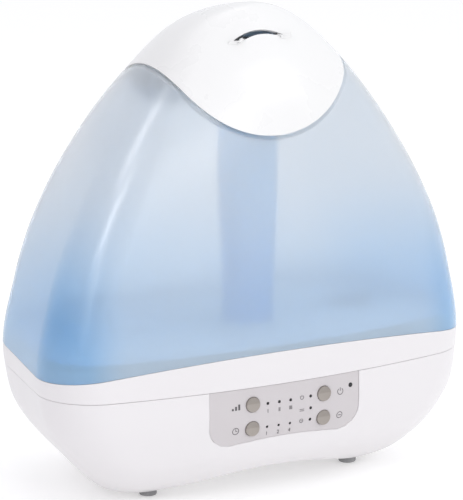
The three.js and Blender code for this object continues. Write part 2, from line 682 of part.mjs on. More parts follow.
const tank = new THREE.Group();
add(tank, 'tank_shell', tankShell(), tankPlastic);
add(tank, 'tank_floor', tankFloor(), tankPlastic);
add(tank, 'mist_duct', mistDuct(), ductPlastic);
add(tank, 'duct_seal', ductSeal(), greyRubber);
add(tank, 'fill_cap', fillCap(), whitePlastic);
add(tank, 'fill_cap_seal', fillCapSeal(), greyRubber);
add(tank, 'valve_stem', valveStem(), innerPlastic);
add(tank, 'valve_spring', valveSpring(), steel);
humidifier.add(tank);

const cap = new THREE.Group();
add(cap, 'top_cap', topCap(), whitePlastic);
add(cap, 'mist_nozzle', mistNozzle(), innerPlastic);
humidifier.add(cap);

export default humidifier;
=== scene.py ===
from contextlib import contextmanager
from math import asin, atan2, cos, exp, hypot, log1p, pi, radians, sin, sqrt, tan

import bmesh
import bpy
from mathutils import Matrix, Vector


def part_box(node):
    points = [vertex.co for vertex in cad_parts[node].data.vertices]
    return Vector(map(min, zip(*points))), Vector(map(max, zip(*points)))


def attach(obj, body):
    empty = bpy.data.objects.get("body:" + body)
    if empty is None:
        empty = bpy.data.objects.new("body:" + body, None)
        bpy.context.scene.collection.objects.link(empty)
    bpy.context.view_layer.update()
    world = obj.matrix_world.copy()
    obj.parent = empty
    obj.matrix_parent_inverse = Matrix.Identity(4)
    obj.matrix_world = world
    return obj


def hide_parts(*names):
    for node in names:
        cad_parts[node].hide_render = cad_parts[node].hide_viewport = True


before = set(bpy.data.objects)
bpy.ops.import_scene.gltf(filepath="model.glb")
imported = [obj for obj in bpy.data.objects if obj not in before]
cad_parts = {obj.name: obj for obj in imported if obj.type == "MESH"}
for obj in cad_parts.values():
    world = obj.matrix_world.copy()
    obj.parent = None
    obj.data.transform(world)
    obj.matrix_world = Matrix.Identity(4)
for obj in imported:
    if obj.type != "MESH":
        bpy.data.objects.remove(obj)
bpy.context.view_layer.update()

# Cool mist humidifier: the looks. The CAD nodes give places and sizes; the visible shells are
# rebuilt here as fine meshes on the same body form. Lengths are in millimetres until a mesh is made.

MM = 0.001

# ---------------------------------------------------------------- the body's form

HEIGHT = 330.0
HALF_WIDTH = 159.5
FRONT_Y, BACK_Y = -87.0, 87.0
PARTING_Z = 79.5
# Height, half width, front and back of the body.
STATIONS = [
    (3, 102, -48, 47.5), (9.5, 113, -62, 52), (21, 127, -75, 63), (49, 151, -86, 80.5),
    (PARTING_Z, HALF_WIDTH, FRONT_Y, BACK_Y), (140, 152.3, -85, 81), (197.5, 132, -82, 71),
    (248, 105, -77, 56), (286, 76.4, -67, 36), (314, 47.4, -49, 12.8), (HEIGHT, 0, -34, -34),
]
FRONT_RADIUS, FRONT_CORNER, BACK_CORNER = 660.0, 39.0, 51.0
SIDE_CONVERGENCE = radians(12)
ROUNDING_FROM, ROUNDING_MOST = 167.0, 0.73
SEAM_Z, SEAM_RADIUS = 102.0, 1250.0
CAP_Z, CAP_RADIUS = 324.0, 76.0
ARCH_Z, ARCH_RADIUS, ARCH_BLEND = 18.5, 222.5, 1.2
BOTTOM_Z = 3.0
SEAM_GAP = 0.3
WALL, DECK_WALL, TANK_WALL, CAP_WALL = 2.5, 2.3, 2.2, 2.3
NECK_INSET = CAP_WALL + 0.4
NECK_TOP_Z = 284.0
DUCT_X, DUCT_Y = 0.0, -34.0


def depth_measure(z):
    """The square root of the depth below the crown; the profile is nearly straight against it."""
    return sqrt(max(0.0, 1 - z / HEIGHT))


KNOTS = sorted((depth_measure(s[0]),) + tuple(s[1:]) for s in STATIONS)


def knot_slope(j, k):
    """Slope of the profile k at knot j, weighted between its two neighbours."""
    def rise(i):
        return (KNOTS[i + 1][k] - KNOTS[i][k]) / (KNOTS[i + 1][0] - KNOTS[i][0])
    if j == 0:
        return rise(0)
    if j == len(KNOTS) - 1:
        return rise(j - 1)
    before = KNOTS[j][0] - KNOTS[j - 1][0]
    after = KNOTS[j + 1][0] - KNOTS[j][0]
    return (rise(j - 1) * after + rise(j) * before) / (before + after)


def sizes_at(z):
    """Half width, front and back of the body at a height."""
    w = depth_measure(z)
    i = 0
    while i < len(KNOTS) - 2 and w > KNOTS[i + 1][0]:
        i += 1
    span = KNOTS[i + 1][0] - KNOTS[i][0]
    u = (w - KNOTS[i][0]) / span
    found = []
    for k in (1, 2, 3):
        p0, p1 = KNOTS[i][k], KNOTS[i + 1][k]
        m0, m1 = knot_slope(i, k) * span, knot_slope(i + 1, k) * span
        found.append(
            (2 * u**3 - 3 * u**2 + 1) * p0 + (u**3 - 2 * u**2 + u) * m0
            + (3 * u**2 - 2 * u**3) * p1 + (u**3 - u**2) * m1
        )
    return found


FRONT_TURN = asin((HALF_WIDTH - FRONT_CORNER) / (FRONT_RADIUS - FRONT_CORNER))
SIDE_TURN = pi / 2 + SIDE_CONVERGENCE
CORNER_X = HALF_WIDTH - FRONT_CORNER
CORNER_Y = FRONT_Y + FRONT_RADIUS - (FRONT_RADIUS - FRONT_CORNER) * cos(FRONT_TURN)
SIDE_X = CORNER_X + FRONT_CORNER * sin(SIDE_TURN)
SIDE_Y = CORNER_Y - FRONT_CORNER * cos(SIDE_TURN)
BACK_SIDE_Y = BACK_Y - BACK_CORNER - BACK_CORNER * cos(SIDE_TURN)
BACK_SIDE_X = SIDE_X - (BACK_SIDE_Y - SIDE_Y) * tan(SIDE_CONVERGENCE)
BACK_FLAT_X = BACK_SIDE_X - BACK_CORNER * sin(SIDE_TURN)


def outline(u):
    """The plan outline at the parting line. u runs from 0 at the front to 5 at the back through
    +X, one unit a stretch: front, front corner, side, back corner, back. -u is its mirror."""
    s, f = divmod(min(abs(u), 4.9999999), 1)
    if s == 0:
        a = FRONT_TURN * f
        x, y = FRONT_RADIUS * sin(a), FRONT_Y + FRONT_RADIUS * (1 - cos(a))
    elif s == 1:
        a = FRONT_TURN + (SIDE_TURN - FRONT_TURN) * f
        x, y = CORNER_X + FRONT_CORNER * sin(a), CORNER_Y - FRONT_CORNER * cos(a)
    elif s == 2:
        x, y = SIDE_X + (BACK_SIDE_X - SIDE_X) * f, SIDE_Y + (BACK_SIDE_Y - SIDE_Y) * f
    elif s == 3:
        a = SIDE_TURN + (pi - SIDE_TURN) * f
        x, y = BACK_FLAT_X + BACK_CORNER * sin(a), BACK_Y - BACK_CORNER - BACK_CORNER * cos(a)
    else:
        x, y = BACK_FLAT_X * (1 - f), BACK_Y
    return (x if u >= 0 else -x), y


def smoothstep(t):
    t = min(1.0, max(0.0, t))
    return t * t * (3 - 2 * t)


def surface(u, z, inset=0.0):
    """A point of the body's surface, drawn in by an inset."""
    level = min(z * HEIGHT / (HEIGHT - inset), HEIGHT)
    half_width, front, back = sizes_at(level)
    t = smoothstep((level - ROUNDING_FROM) / (HEIGHT - ROUNDING_FROM)) * ROUNDING_MOST
    x, y = outline(u)
    ux, uy = x / HALF_WIDTH, (y - (FRONT_Y + BACK_Y) / 2) / ((BACK_Y - FRONT_Y) / 2)
    k = 1 - t + t / hypot(ux, uy)
    reach_x = max(half_width - inset, 0.0)
    reach_y = max((back - front) / 2 - inset, 0.0)
    return Vector((ux * k * reach_x, (front + back) / 2 + uy * k * reach_y, z))


HALVINGS = 40


def u_for_x(x, z):
    """The front or side place u at which the surface has this x, by halving."""
    low, high = 0.0, 1.6
    for _ in range(HALVINGS):
        between = (low + high) / 2
        if surface(between, z).x < abs(x):
            low = between
        else:
            high = between
    return low if x >= 0 else -low


def front_point(x, z, inset=0.0):
    """The front surface at a place in the front view, set back by an inset."""
    p = surface(u_for_x(x, z), z)
    return Vector((x, p.y + inset, z))


def seam_height(u, lift=0.0):
    """Height of the curved seam between the base and the tank."""
    z = SEAM_Z
    for _ in range(8):
        z = SEAM_Z + lift - SEAM_RADIUS + sqrt(SEAM_RADIUS**2 - surface(u, z).x ** 2)
    return z


def cap_height(u, grow=0.0):
    """Height at which the surface meets the cap's round edge."""
    low, high = 240.0, 318.0
    for _ in range(HALVINGS):
        between = (low + high) / 2
        if hypot(surface(u, between).x, between - CAP_Z) > CAP_RADIUS + grow:
            low = between
        else:
            high = between
    return low


def bottom_height(x):
    """The underside: an arch that runs out smoothly into the flat ends over the feet."""
    arch = ARCH_Z - ARCH_RADIUS + sqrt(max(ARCH_RADIUS**2 - x**2, 0.0)) - BOTTOM_Z
    steep = max(min(arch / ARCH_BLEND, 40.0), -40.0)
    return BOTTOM_Z + ARCH_BLEND * log1p(exp(steep))


def bottom_edge(u):
    """Height at which the surface meets the underside."""
    z = 12.0
    for _ in range(10):
        z = bottom_height(surface(u, z).x)
    return z


# ---------------------------------------------------------------- materials


class Tree:
    """The shader nodes of a material or world."""

    def __init__(self, owner):
        self.nodes, self.links = owner.node_tree.nodes, owner.node_tree.links

    def fill(self, node, inputs):
        """Sets a node's inputs, each from a plain value or from another node's output."""
        for socket, value in inputs.items():
            if isinstance(value, bpy.types.NodeSocket):
                self.links.new(value, node.inputs[socket])
            else:
                node.inputs[socket].default_value = value

    def add(self, kind, inputs):
        node = self.nodes.new(kind)
        self.fill(node, inputs)
        return node.outputs

    def place(self, kind="Object"):
        """A texture coordinate. Object coordinates are in metres."""
        return self.nodes.new("ShaderNodeTexCoord").outputs[kind]

    def axes(self, kind="Object"):
        return self.add("ShaderNodeSeparateXYZ", {"Vector": self.place(kind)})

    def noise(self, scale, detail=3.0, stretch=(1, 1, 1)):
        place = self.add("ShaderNodeMapping", {"Vector": self.place(), "Scale": stretch})["Vector"]
        return self.add("ShaderNodeTexNoise", {"Vector": place, "Scale": scale, "Detail": detail})["Fac"]

    def between(self, value, start, end, low=0.0, high=1.0, smooth=True):
        node = self.nodes.new("ShaderNodeMapRange")
        node.interpolation_type = "SMOOTHSTEP" if smooth else "LINEAR"
        self.fill(node, {"From Min": start, "From Max": end, "To Min": low, "To Max": high, "Value": value})
        return node.outputs["Result"]

    def spread(self, value, low, high):
        """Spreads a noise value, which mostly lies between 0.3 and 0.7, over a range."""
        return self.between(value, 0.3, 0.7, low, high, smooth=False)

    def tint(self, value, first, second):
        node = self.nodes.new("ShaderNodeMix")
        node.data_type = "RGBA"
        self.fill(node, {"A": (*first, 1), "B": (*second, 1), "Factor": value})
        return node.outputs["Result"]


class Look(Tree):
    """A Principled material."""

    def __init__(self, name, colour, roughness, coat=0.0, metal=0.0, specular=0.5):
        self.material = bpy.data.materials.new(name)
        self.material.use_nodes = True
        super().__init__(self.material)
        self.shader = self.nodes["Principled BSDF"]
        self.set({"Base Color": (*colour, 1), "Roughness": roughness, "Metallic": metal})
        self.set({"Coat Weight": coat, "Coat Roughness": 0.12, "Specular IOR Level": specular})

    def set(self, inputs):
        self.fill(self.shader, inputs)

    def bump(self, parts, strength=0.2):
        """Adds up (height value, millimetres) parts as one bump."""
        normal = None
        for value, depth in parts:
            inputs = {"Height": value, "Strength": strength, "Distance": depth * MM}
            if normal:
                inputs["Normal"] = normal
            normal = self.add("ShaderNodeBump", inputs)["Normal"]
        self.set({"Normal": normal})


def shaded(colour, factor):
    return tuple(c * factor for c in colour)


def moulded(name, colour, roughness, spread=0.06, grain=900, depth=0.05, shade=0.985, **more):
    """Moulded plastic: a fine spark-eroded grain, faint flow marks and uneven gloss."""
    look = Look(name, colour, roughness, **more)
    flow, fine, smears = look.noise(9, 4, (1, 1, 0.35)), look.noise(grain, 2), look.noise(38, 5)
    look.set({"Base Color": look.tint(look.spread(flow, 0, 1), colour, shaded(colour, shade))})
    look.set({"Roughness": look.spread(smears, roughness - spread, roughness + spread)})
    look.bump([(fine, depth), (flow, depth * 4)])
    return look.material


def rubber(name, colour):
    """Matt rubber with a fine grain and a little dust."""
    look = Look(name, colour, 0.8, specular=0.3)
    fine, dust = look.noise(1500, 4), look.noise(120, 6)
    dusty = tuple(min(1, c * 1.35 + 0.03) for c in colour)
    look.set({"Base Color": look.tint(look.spread(dust, 0, 0.6), colour, dusty)})
    look.set({"Roughness": look.spread(dust, 0.7, 0.9)})
    look.bump([(fine, 0.08)], 0.4)
    return look.material


def brushed(name, colour, roughness, stretch=(1, 1, 30)):
    """Metal with fine lines drawn out one way and a faint stain."""
    look = Look(name, colour, roughness, metal=1.0)
    lines, stain = look.noise(300, 3, stretch), look.noise(60, 5)
    look.set({"Base Color": look.tint(look.spread(stain, 0, 1), colour, shaded(colour, 0.8))})
    look.set({"Roughness": look.spread(lines, roughness * 0.7, roughness * 1.4)})
    look.bump([(lines, 0.03)], 0.3)
    return look.material


def laminate(name, lacquer, second, track):
    """Circuit board lacquer with copper tracks showing through as lighter lines."""
    look = Look(name, lacquer, 0.35, coat=0.4)
    tracks = look.add("ShaderNodeTexBrick", {
        "Vector": look.place(), "Scale": 160, "Mortar Size": 0.03,
        "Color1": (*lacquer, 1), "Color2": (*second, 1), "Mortar": (*track, 1),
    })
    look.set({"Base Color": tracks["Color"], "Roughness": look.spread(look.noise(80, 3), 0.28, 0.45)})
    look.bump([(tracks["Fac"], 0.05)], 0.5)
    return look.material


# Places in metres between which the frosted plastic changes, and how far it does. The deeper colour lower
# down and towards the ends is painted shade.
SHADE_NONE_Z, SHADE_FULL_Z = 0.240, 0.095
SHADE_MIDDLE_X, SHADE_END_X = 0.112, 0.158
SHADE_MIDDLE, SHADE_ENDS = 0.45, 1.15
HAZY_Z, CLEAR_Z, HAZY_SHARE = 0.100, 0.135, 0.8
CLOUD_TINT = 0.12


def frosted(name, high_colour, low_colour, roughness, see_through, index):
    """Frosted see-through plastic. It blurs what stands behind it and has a fine etched grain and faint
    upright streaks from moulding. Its colour is deeper lower down and towards the ends: this is painted
    shade."""
    look = Look(name, high_colour, roughness, coat=1.0, specular=0.4)
    look.set({"Coat Roughness": 0.25, "IOR": index, "Transmission Weight": see_through})
    streaks, clouds, fine = look.noise(14, 4, (1, 1, 0.25)), look.noise(7, 2), look.noise(1300, 2)
    x, _, z = look.axes()
    reach = look.nodes.new("ShaderNodeMath")
    reach.operation = "ABSOLUTE"
    look.fill(reach, {0: x})
    mixed = look.nodes.new("ShaderNodeMath")
    mixed.operation = "MULTIPLY_ADD"
    # Painted shade: the colour deepens lower down and towards the ends. The clouds add random tone.
    look.fill(mixed, {
        0: look.between(z, SHADE_NONE_Z, SHADE_FULL_Z),
        1: look.between(reach.outputs[0], SHADE_MIDDLE_X, SHADE_END_X, SHADE_MIDDLE, SHADE_ENDS),
        2: look.spread(clouds, 0.0, CLOUD_TINT),
    })
    look.set({
        "Base Color": look.tint(mixed.outputs[0], high_colour, low_colour),
        "Roughness": look.spread(streaks, roughness - 0.04, roughness + 0.05),
        "Transmission Weight": look.between(z, HAZY_Z, CLEAR_Z, see_through * HAZY_SHARE, see_through),
    })
    look.bump([(fine, 0.02), (streaks, 0.12)], 0.2)
    return look.material


WHITE = moulded("white_shell", (0.755, 0.735, 0.745), 0.34, coat=0.15)
CAP_WHITE = moulded("cap_white", (0.80, 0.80, 0.795), 0.3, coat=0.3)
# The second colour of each frosted plastic is its painted shade, reached lower down and towards the ends.
TANK = frosted("tank_plastic", (0.90, 0.925, 0.945), (0.42, 0.68, 0.93), 0.32, 0.72, 1.12)
DUCT = frosted("duct_plastic", (0.22, 0.60, 0.98), (0.0, 0.25, 0.78), 0.4, 0.05, 1.2)
FLOOR_BLUE = moulded("tank_floor_plastic", (0.62, 0.75, 0.90), 0.4)
PANEL = moulded("panel_plastic", (0.58, 0.55, 0.56), 0.5, grain=1400, depth=0.04)
BUTTON = moulded("button_plastic", (0.35, 0.315, 0.285), 0.48, grain=1800, depth=0.05, shade=0.94)
WINDOW = moulded("light_window", (0.012, 0.012, 0.014), 0.16, spread=0.04, grain=400, depth=0.01)
INK = moulded("panel_ink", (0.10, 0.095, 0.10), 0.6, grain=2500, depth=0.02)
INNER = moulded("inner_plastic", (0.78, 0.78, 0.77), 0.5, grain=700, depth=0.08, shade=0.95)


def paint_upper_shade(material, factor):
    """Paints shade on the upper part of a piece: it is made darker, with a soft step just above its middle.
    """
    tree = Tree(material)
    colour = tree.nodes["Principled BSDF"].inputs["Base Color"]
    _, _, z = tree.axes("Generated")
    shade = tree.nodes.new("ShaderNodeVectorMath")
    shade.operation = "SCALE"
    tree.fill(shade, {0: colour.links[0].from_socket,
                      "Scale": tree.between(z, 0.5, 0.6, 1.0, factor, smooth=False)})
    tree.links.new(shade.outputs["Vector"], colour)


# Painted shade: the upper part of each button is darker.
paint_upper_shade(BUTTON, 0.84)
RUBBER = rubber("grey_rubber", (0.27, 0.27, 0.275))
BOARD = laminate("circuit_board", (0.03, 0.16, 0.07), (0.035, 0.19, 0.08), (0.10, 0.34, 0.16))
COPPER = brushed("coil", (0.62, 0.30, 0.14), 0.35, (1, 1, 60))
ALUMINIUM = brushed("aluminium", (0.75, 0.76, 0.77), 0.35)
BRASS = brushed("transducer_metal", (0.80, 0.62, 0.30), 0.25, (30, 1, 1))
STEEL = brushed("steel", (0.66, 0.67, 0.69), 0.3, (1, 30, 1))

# ---------------------------------------------------------------- making meshes


@contextmanager
def editing(piece):
    """A piece's mesh open for changes, which are written back at the end."""
    work = bmesh.new()
    work.from_mesh(piece.data)
    yield work
    work.to_mesh(piece.data)
    work.free()


def new_object(name, vertices, faces, material, smooth=True):
    """A mesh object from places in millimetres, with its faces turned outwards."""
    mesh = bpy.data.meshes.new(name)
    mesh.from_pydata([tuple(c * MM for c in v) for v in vertices], [], faces)
    piece = bpy.data.objects.new(name, mesh)
    bpy.context.scene.collection.objects.link(piece)
    mesh.materials.append(material)
    with editing(piece) as work:
        bmesh.ops.delete(work, geom=[v for v in work.verts if not v.link_faces], context="VERTS")
        bmesh.ops.recalc_face_normals(work, faces=work.faces)
    for polygon in mesh.polygons:
        polygon.use_smooth = smooth
    return piece


def solidify(piece, thickness):
    """Gives a sheet its wall, inwards."""
    modifier = piece.modifiers.new("wall", "SOLIDIFY")
    modifier.thickness = thickness * MM
    modifier.offset = -1
    modifier.use_even_offset = False
    modifier.use_quality_normals = True


def bevel(piece, width, angle=40, segments=3, clamp=True):
    """Rounds the edges that are sharper than an angle in degrees."""
    modifier = piece.modifiers.new("edge", "BEVEL")
    modifier.width = width * MM
    modifier.segments = segments
    modifier.limit_method = "ANGLE"
    modifier.angle_limit = radians(angle)
    modifier.use_clamp_overlap = clamp


def boolean(piece, tool, operation="DIFFERENCE"):
    modifier = piece.modifiers.new("cut", "BOOLEAN")
    modifier.operation = operation
    modifier.solver = "EXACT"
    modifier.object = tool


BAKE_WELD = 2e-6
HAIR = 1e-4


def bake(piece, sharp=32, tools=()):
    """Applies the modifiers, marks the sharp edges and drops the cutting tools."""
    graph = bpy.context.evaluated_depsgraph_get()
    mesh = bpy.data.meshes.new_from_object(piece.evaluated_get(graph))
    piece.modifiers.clear()
    piece.data = mesh
    with editing(piece) as work:
        bmesh.ops.remove_doubles(work, verts=work.verts, dist=BAKE_WELD)
        bmesh.ops.dissolve_degenerate(work, edges=work.edges, dist=BAKE_WELD)
        for edge in work.edges:
            edge.smooth = edge.calc_face_angle(0) < radians(sharp)
        for face in work.faces:
            face.smooth = True
    weighted = piece.modifiers.new("normals", "WEIGHTED_NORMAL")
    weighted.keep_sharp = True
    weighted.weight = 60
    for tool in tools:
        bpy.data.objects.remove(tool)
    return piece


def place(piece, body, slot, *nodes):
    """Puts a finished piece on its body, in place of the CAD nodes named. The slot is not used."""
    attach(piece, body)
    if nodes:
        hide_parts(*nodes)


def lathe_faces(rows, sides):
    faces = []
    for j in range(rows):
        for i in range(sides):
            a, b = j * sides + i, j * sides + (i + 1) % sides
            k = ((j + 1) % rows) * sides
            faces.append((a, b, k + (i + 1) % sides, k + i))
    return faces


def turned(name, profile, x, y, material, sides=64, axis="Z", at=0.0):
    """A closed profile of (radius, length along the axis) turned about the axis through x, y, or
    along Y through x and height at. A radius of 0 is drawn in to a hair, which bake then closes."""
    vertices = []
    for r, t in profile:
        for i in range(sides):
            a = 2 * pi * i / sides
            c, s = max(r, HAIR) * cos(a), max(r, HAIR) * sin(a)
            vertices.append((x + c, y + s, t) if axis == "Z" else (x + c, t, at + s))
    return new_object(name, vertices, lathe_faces(len(profile), sides), material)


def cylinder(name, radius, x, y, z0, z1):
    return turned(name, [(0, z0), (radius, z0), (radius, z1), (0, z1)], x, y, INNER, 48)


def rod(name, radius, x, z, y0, y1, sides=48):
    return turned(name, [(0, y0), (radius, y0), (radius, y1), (0, y1)], x, 0, INNER, sides, "Y", z)


def join(pieces):
    """Joins objects into the first one."""
    first = pieces[0]
    work = bmesh.new()
    for piece in pieces:
        work.from_mesh(piece.data)
    work.to_mesh(first.data)
    work.free()
    for piece in pieces[1:]:
        bpy.data.objects.remove(piece)


def weld(piece, distance):
    """Joins corners closer together than a distance in millimetres."""
    with editing(piece) as work:
        bmesh.ops.remove_doubles(work, verts=work.verts, dist=distance * MM)


def block(name, x0, x1, y0, y1, z0, z1):
    corners = [(x, y, z) for z in (z0, z1) for y in (y0, y1) for x in (x0, x1)]
    faces = [(0, 2, 3, 1), (4, 5, 7, 6), (0, 1, 5, 4), (1, 3, 7, 5), (3, 2, 6, 7), (2, 0, 4, 6)]
    return new_object(name, corners, faces, WHITE, smooth=False)


def node_box(node):
    """The low and high corners of a CAD node's box in millimetres."""
    low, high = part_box(node)
    return [c / MM for c in low], [c / MM for c in high]


def middle(node):
    low, high = node_box(node)
    return [(a + b) / 2 for a, b in zip(low, high)]


# ---------------------------------------------------------------- shells on the body's form

STRETCH_STEPS = (16, 16, 10, 14, 8)


def column_places():
    """The places u of the sheets' columns, with the given steps in each stretch of the outline."""
    half = []
    for s, steps in enumerate(STRETCH_STEPS):
        half += [s + i / steps for i in range(steps)]
    return [-u for u in half[:0:-1]] + half + [5.0]


COLUMNS = column_places()


def mapped_hole(grid, loop, place_at, rings, open_top):
    """Fits the sheet's columns and rows round a hole. grid is (first column, last column, first
    row, last row, row height function); loop is the hole's edge as (u, z) places, one for each
    place of the grid's border. Returns the border and the rings of points inside it."""
    i0, i1, j0, j1, height = grid
    border = [(i0, j) for j in range(j1, j0, -1)] + [(i, j0) for i in range(i0, i1)]
    border += [(i1, j) for j in range(j0, j1)]
    border += [(i1, j1)] if open_top else [(i, j1) for i in range(i1, i0, -1)]
    if len(border) != len(loop):
        raise ValueError(f"the hole's edge has {len(loop)} places and its border {len(border)}")
    layers = []
    for k in range(1, rings + 1):
        t = k / rings
        layer = []
        for (i, j), (u, z) in zip(border, loop):
            bu, bz = COLUMNS[i], height(COLUMNS[i], j)
            layer.append(place_at(bu + (u - bu) * t, bz + (z - bz) * t))
        layers.append(layer)
    return border, layers


def shell(name, rows, height, place_at, material, tail=(), head=(), hole=None, close_low=None):
    """A sheet round the body. Rows run up from row 0; tail rows come before it and head rows after
    the last, each a function of u. A hole is (i0, i1, j0, j1, loop, rings, open_top)."""
    n = len(COLUMNS)
    lines = [[f(u) for u in COLUMNS] for f in tail]
    lines += [[place_at(u, height(u, j)) for u in COLUMNS] for j in range(rows)]
    lines += [[f(u) for u in COLUMNS] for f in head]
    vertices = [p for line in lines for p in line]
    faces = []
    offset = len(tail)
    for j in range(len(lines) - 1):
        for i in range(n):
            if hole and hole[0] <= i < hole[1] and hole[2] <= j - offset < hole[3]:
                continue
            a, b = j * n, (j + 1) * n
            faces.append((a + i, a + (i + 1) % n, b + (i + 1) % n, b + i))
    if hole:
        i0, i1, j0, j1, loop, rings, open_top = hole
        border, layers = mapped_hole((i0, i1, j0, j1, height), loop, place_at, rings, open_top)
        before = [(offset + j) * n + i for i, j in border]
        for layer in layers:
            here = list(range(len(vertices), len(vertices) + len(layer)))
            vertices += layer
            last = len(here) - 1 if open_top else len(here)
            for q in range(last):
                r = (q + 1) % len(here)
                faces.append((before[q], before[r], here[r], here[q]))
            before = here
    if close_low:
        vertices.append(close_low)
        faces += [(i, (i + 1) % n, len(vertices) - 1) for i in range(n)]
    return new_object(name, vertices, faces, material)


def nearest_column(u):
    return min(range(len(COLUMNS)), key=lambda i: abs(COLUMNS[i] - u))


# ---------------------------------------------------------------- base

HOUSING_TOP = PARTING_Z - SEAM_GAP / 2
HOUSING_ROWS, HOUSING_CROWDING = 34, 1.15
FILLET = 2.4
MIDDLE_Y = -1
PANEL_HALF, PANEL_SIDE_Z, PANEL_MIDDLE_Z, PANEL_CORNER = 58.5, 39.0, 42.5, 16.0
PANEL_SAG = 0.7
PANEL_RECESS, PANEL_THICK = 0.6, 2.4
EDGE_STEPS = 60


def panel_half_edge(shrink, steps_side, steps_bottom):
    """The right half of the panel's edge, (x, z), from the middle of the bottom to the top."""
    half, low = PANEL_HALF - shrink, PANEL_SIDE_Z + shrink
    bottom = PANEL_MIDDLE_Z + shrink
    r = PANEL_CORNER
    fine = []
    for i in range(EDGE_STEPS):
        t = i / EDGE_STEPS
        fine.append(((half - r) * t, bottom + (low + PANEL_SAG - bottom) * t * t))
    for i in range(EDGE_STEPS + 1):
        a = i / EDGE_STEPS * pi / 2
        fine.append((half - r + r * sin(a), low + PANEL_SAG + (r - PANEL_SAG) * (1 - cos(a))))
    for i in range(1, EDGE_STEPS + 1):
        fine.append((half, low + r + (HOUSING_TOP - low - r) * i / EDGE_STEPS))
    corner = EDGE_STEPS + EDGE_STEPS // 2
    return resample(fine[: corner + 1], steps_bottom)[:-1] + resample(fine[corner:], steps_side)


def resample(points, steps):
    """Evenly spaced places along a polyline."""
    lengths = [0.0]
    for a, b in zip(points, points[1:]):
        lengths.append(lengths[-1] + hypot(b[0] - a[0], b[1] - a[1]))
    found = []
    k = 0
    for i in range(steps + 1):
        want = lengths[-1] * i / steps
        while k < len(lengths) - 2 and lengths[k + 1] < want:
            k += 1
        span = lengths[k + 1] - lengths[k]
        t = (want - lengths[k]) / span if span else 0
        found.append(tuple(points[k][c] + (points[k + 1][c] - points[k][c]) * t for c in (0, 1)))
    return found


def housing_height(u, j):
    low = bottom_edge(u) + FILLET
    return low + (HOUSING_TOP - low) * (j / (HOUSING_ROWS - 1)) ** HOUSING_CROWDING


def fillet_line(angle):
    """A line of the round between the side and the underside."""
    def line(u):
        z = bottom_edge(u)
        side = surface(u, z + FILLET).lerp(surface(u, z), sin(angle))
        centre = Vector((0, MIDDLE_Y, side.z))
        reach = (side - centre).length
        return side.lerp(centre, FILLET * 0.9 * (1 - cos(angle)) / reach)
    return line


def underside_line(t):
    """A line of the underside, at a share t of the way out from the middle to the round."""
    edge = fillet_line(pi / 2)

    def line(u):
        p = edge(u)
        x, y = p.x * t, MIDDLE_Y + (p.y - MIDDLE_Y) * t
        lift = (p.z - bottom_height(p.x)) * t
        return Vector((x, y, bottom_height(x) + lift))
    return line


NOTCH_SIDE_U, NOTCH_LOW_Z, NOTCH_RINGS = 0.56, 31, 6


def housing_notch():
    """The panel's opening, as places (u, z) that match the border of the columns round it."""
    i1 = nearest_column(NOTCH_SIDE_U)
    i0 = len(COLUMNS) - 2 - i1
    j0 = next(j for j in range(HOUSING_ROWS) if housing_height(0, j) > NOTCH_LOW_Z)
    half_columns = (i1 - i0) // 2
    right = panel_half_edge(0, HOUSING_ROWS - 1 - j0, half_columns)
    full = [(-x, z) for x, z in right[:0:-1]] + right
    loop = [(u_for_x(x, z), z) for x, z in full]
    return i0, i1, j0, HOUSING_ROWS - 1, loop, NOTCH_RINGS, True


FEET = [f"rubber_foot_{k}" for k in range(1, 5)]
SCREWS = [f"housing_screw_{k}" for k in range(1, 5)]
GLAND_X, _, GLAND_Z = middle("cord_gland")
FOOT_HOLE, SCREW_HOLE, INTAKE_HOLE, CORD_HOLE = 6.4, 4, 26, 4.9
BELOW_Z = -2
# Sections of the posts, as radius and height, or radius and depth for the cord's.
FOOT_POST = [(6.5, 4.6), (9, 5.2), (9, 10), (0, 10), (0, 5.9), (6.5, 5.9)]
SCREW_POST = [(4.1, 3.6), (6.3, 4.8), (6.3, 23.7), (2, 23.7), (2, 13.1), (4.1, 13.1)]
CORD_POST = [(5.0, 80), (10.2, 80), (10.4, 83.6), (9.9, 84.2), (5.0, 84.2)]
UNDERSIDE_SHARES = (0.15, 0.35, 0.52, 0.66, 0.78, 0.87, 0.94)
FILLET_SHARES = (1.0, 0.75, 0.5, 0.25)


def build_housing():
    tail = [underside_line(t) for t in UNDERSIDE_SHARES]
    tail += [fillet_line(t * pi / 2) for t in FILLET_SHARES]
    piece = shell("housing_shell", HOUSING_ROWS, housing_height, surface, WHITE, tail=tail,
                  hole=housing_notch(), close_low=Vector((0, MIDDLE_Y, ARCH_Z)))
    solidify(piece, WALL)
    bevel(piece, 0.5, 60, clamp=False)
    holes = [(foot, FOOT_HOLE, BELOW_Z, 5.8) for foot in FEET]
    holes += [(screw, SCREW_HOLE, BELOW_Z, 12) for screw in SCREWS]
    holes.append(("intake_grille", INTAKE_HOLE, 5, 30))
    tools = []
    for node, radius, z0, z1 in holes:
        x, y, _ = middle(node)
        tools.append(cylinder("tool", radius, x, y, z0, z1))
    tools.append(rod("tool", CORD_HOLE, GLAND_X, GLAND_Z, 60, 100))
    for tool in tools:
        boolean(piece, tool)
    bake(piece, tools=tools)
    posts = []
    for node in FEET + SCREWS:
        x, y, _ = middle(node)
        posts.append(turned("post", FOOT_POST if node in FEET else SCREW_POST, x, y, WHITE))
    posts.append(turned("post", CORD_POST, GLAND_X, 0, WHITE, 64, "Y", GLAND_Z))
    for post in posts:
        bake(post)
    join([piece] + posts)
    place(piece, "base", "white_shell", "lower_housing")


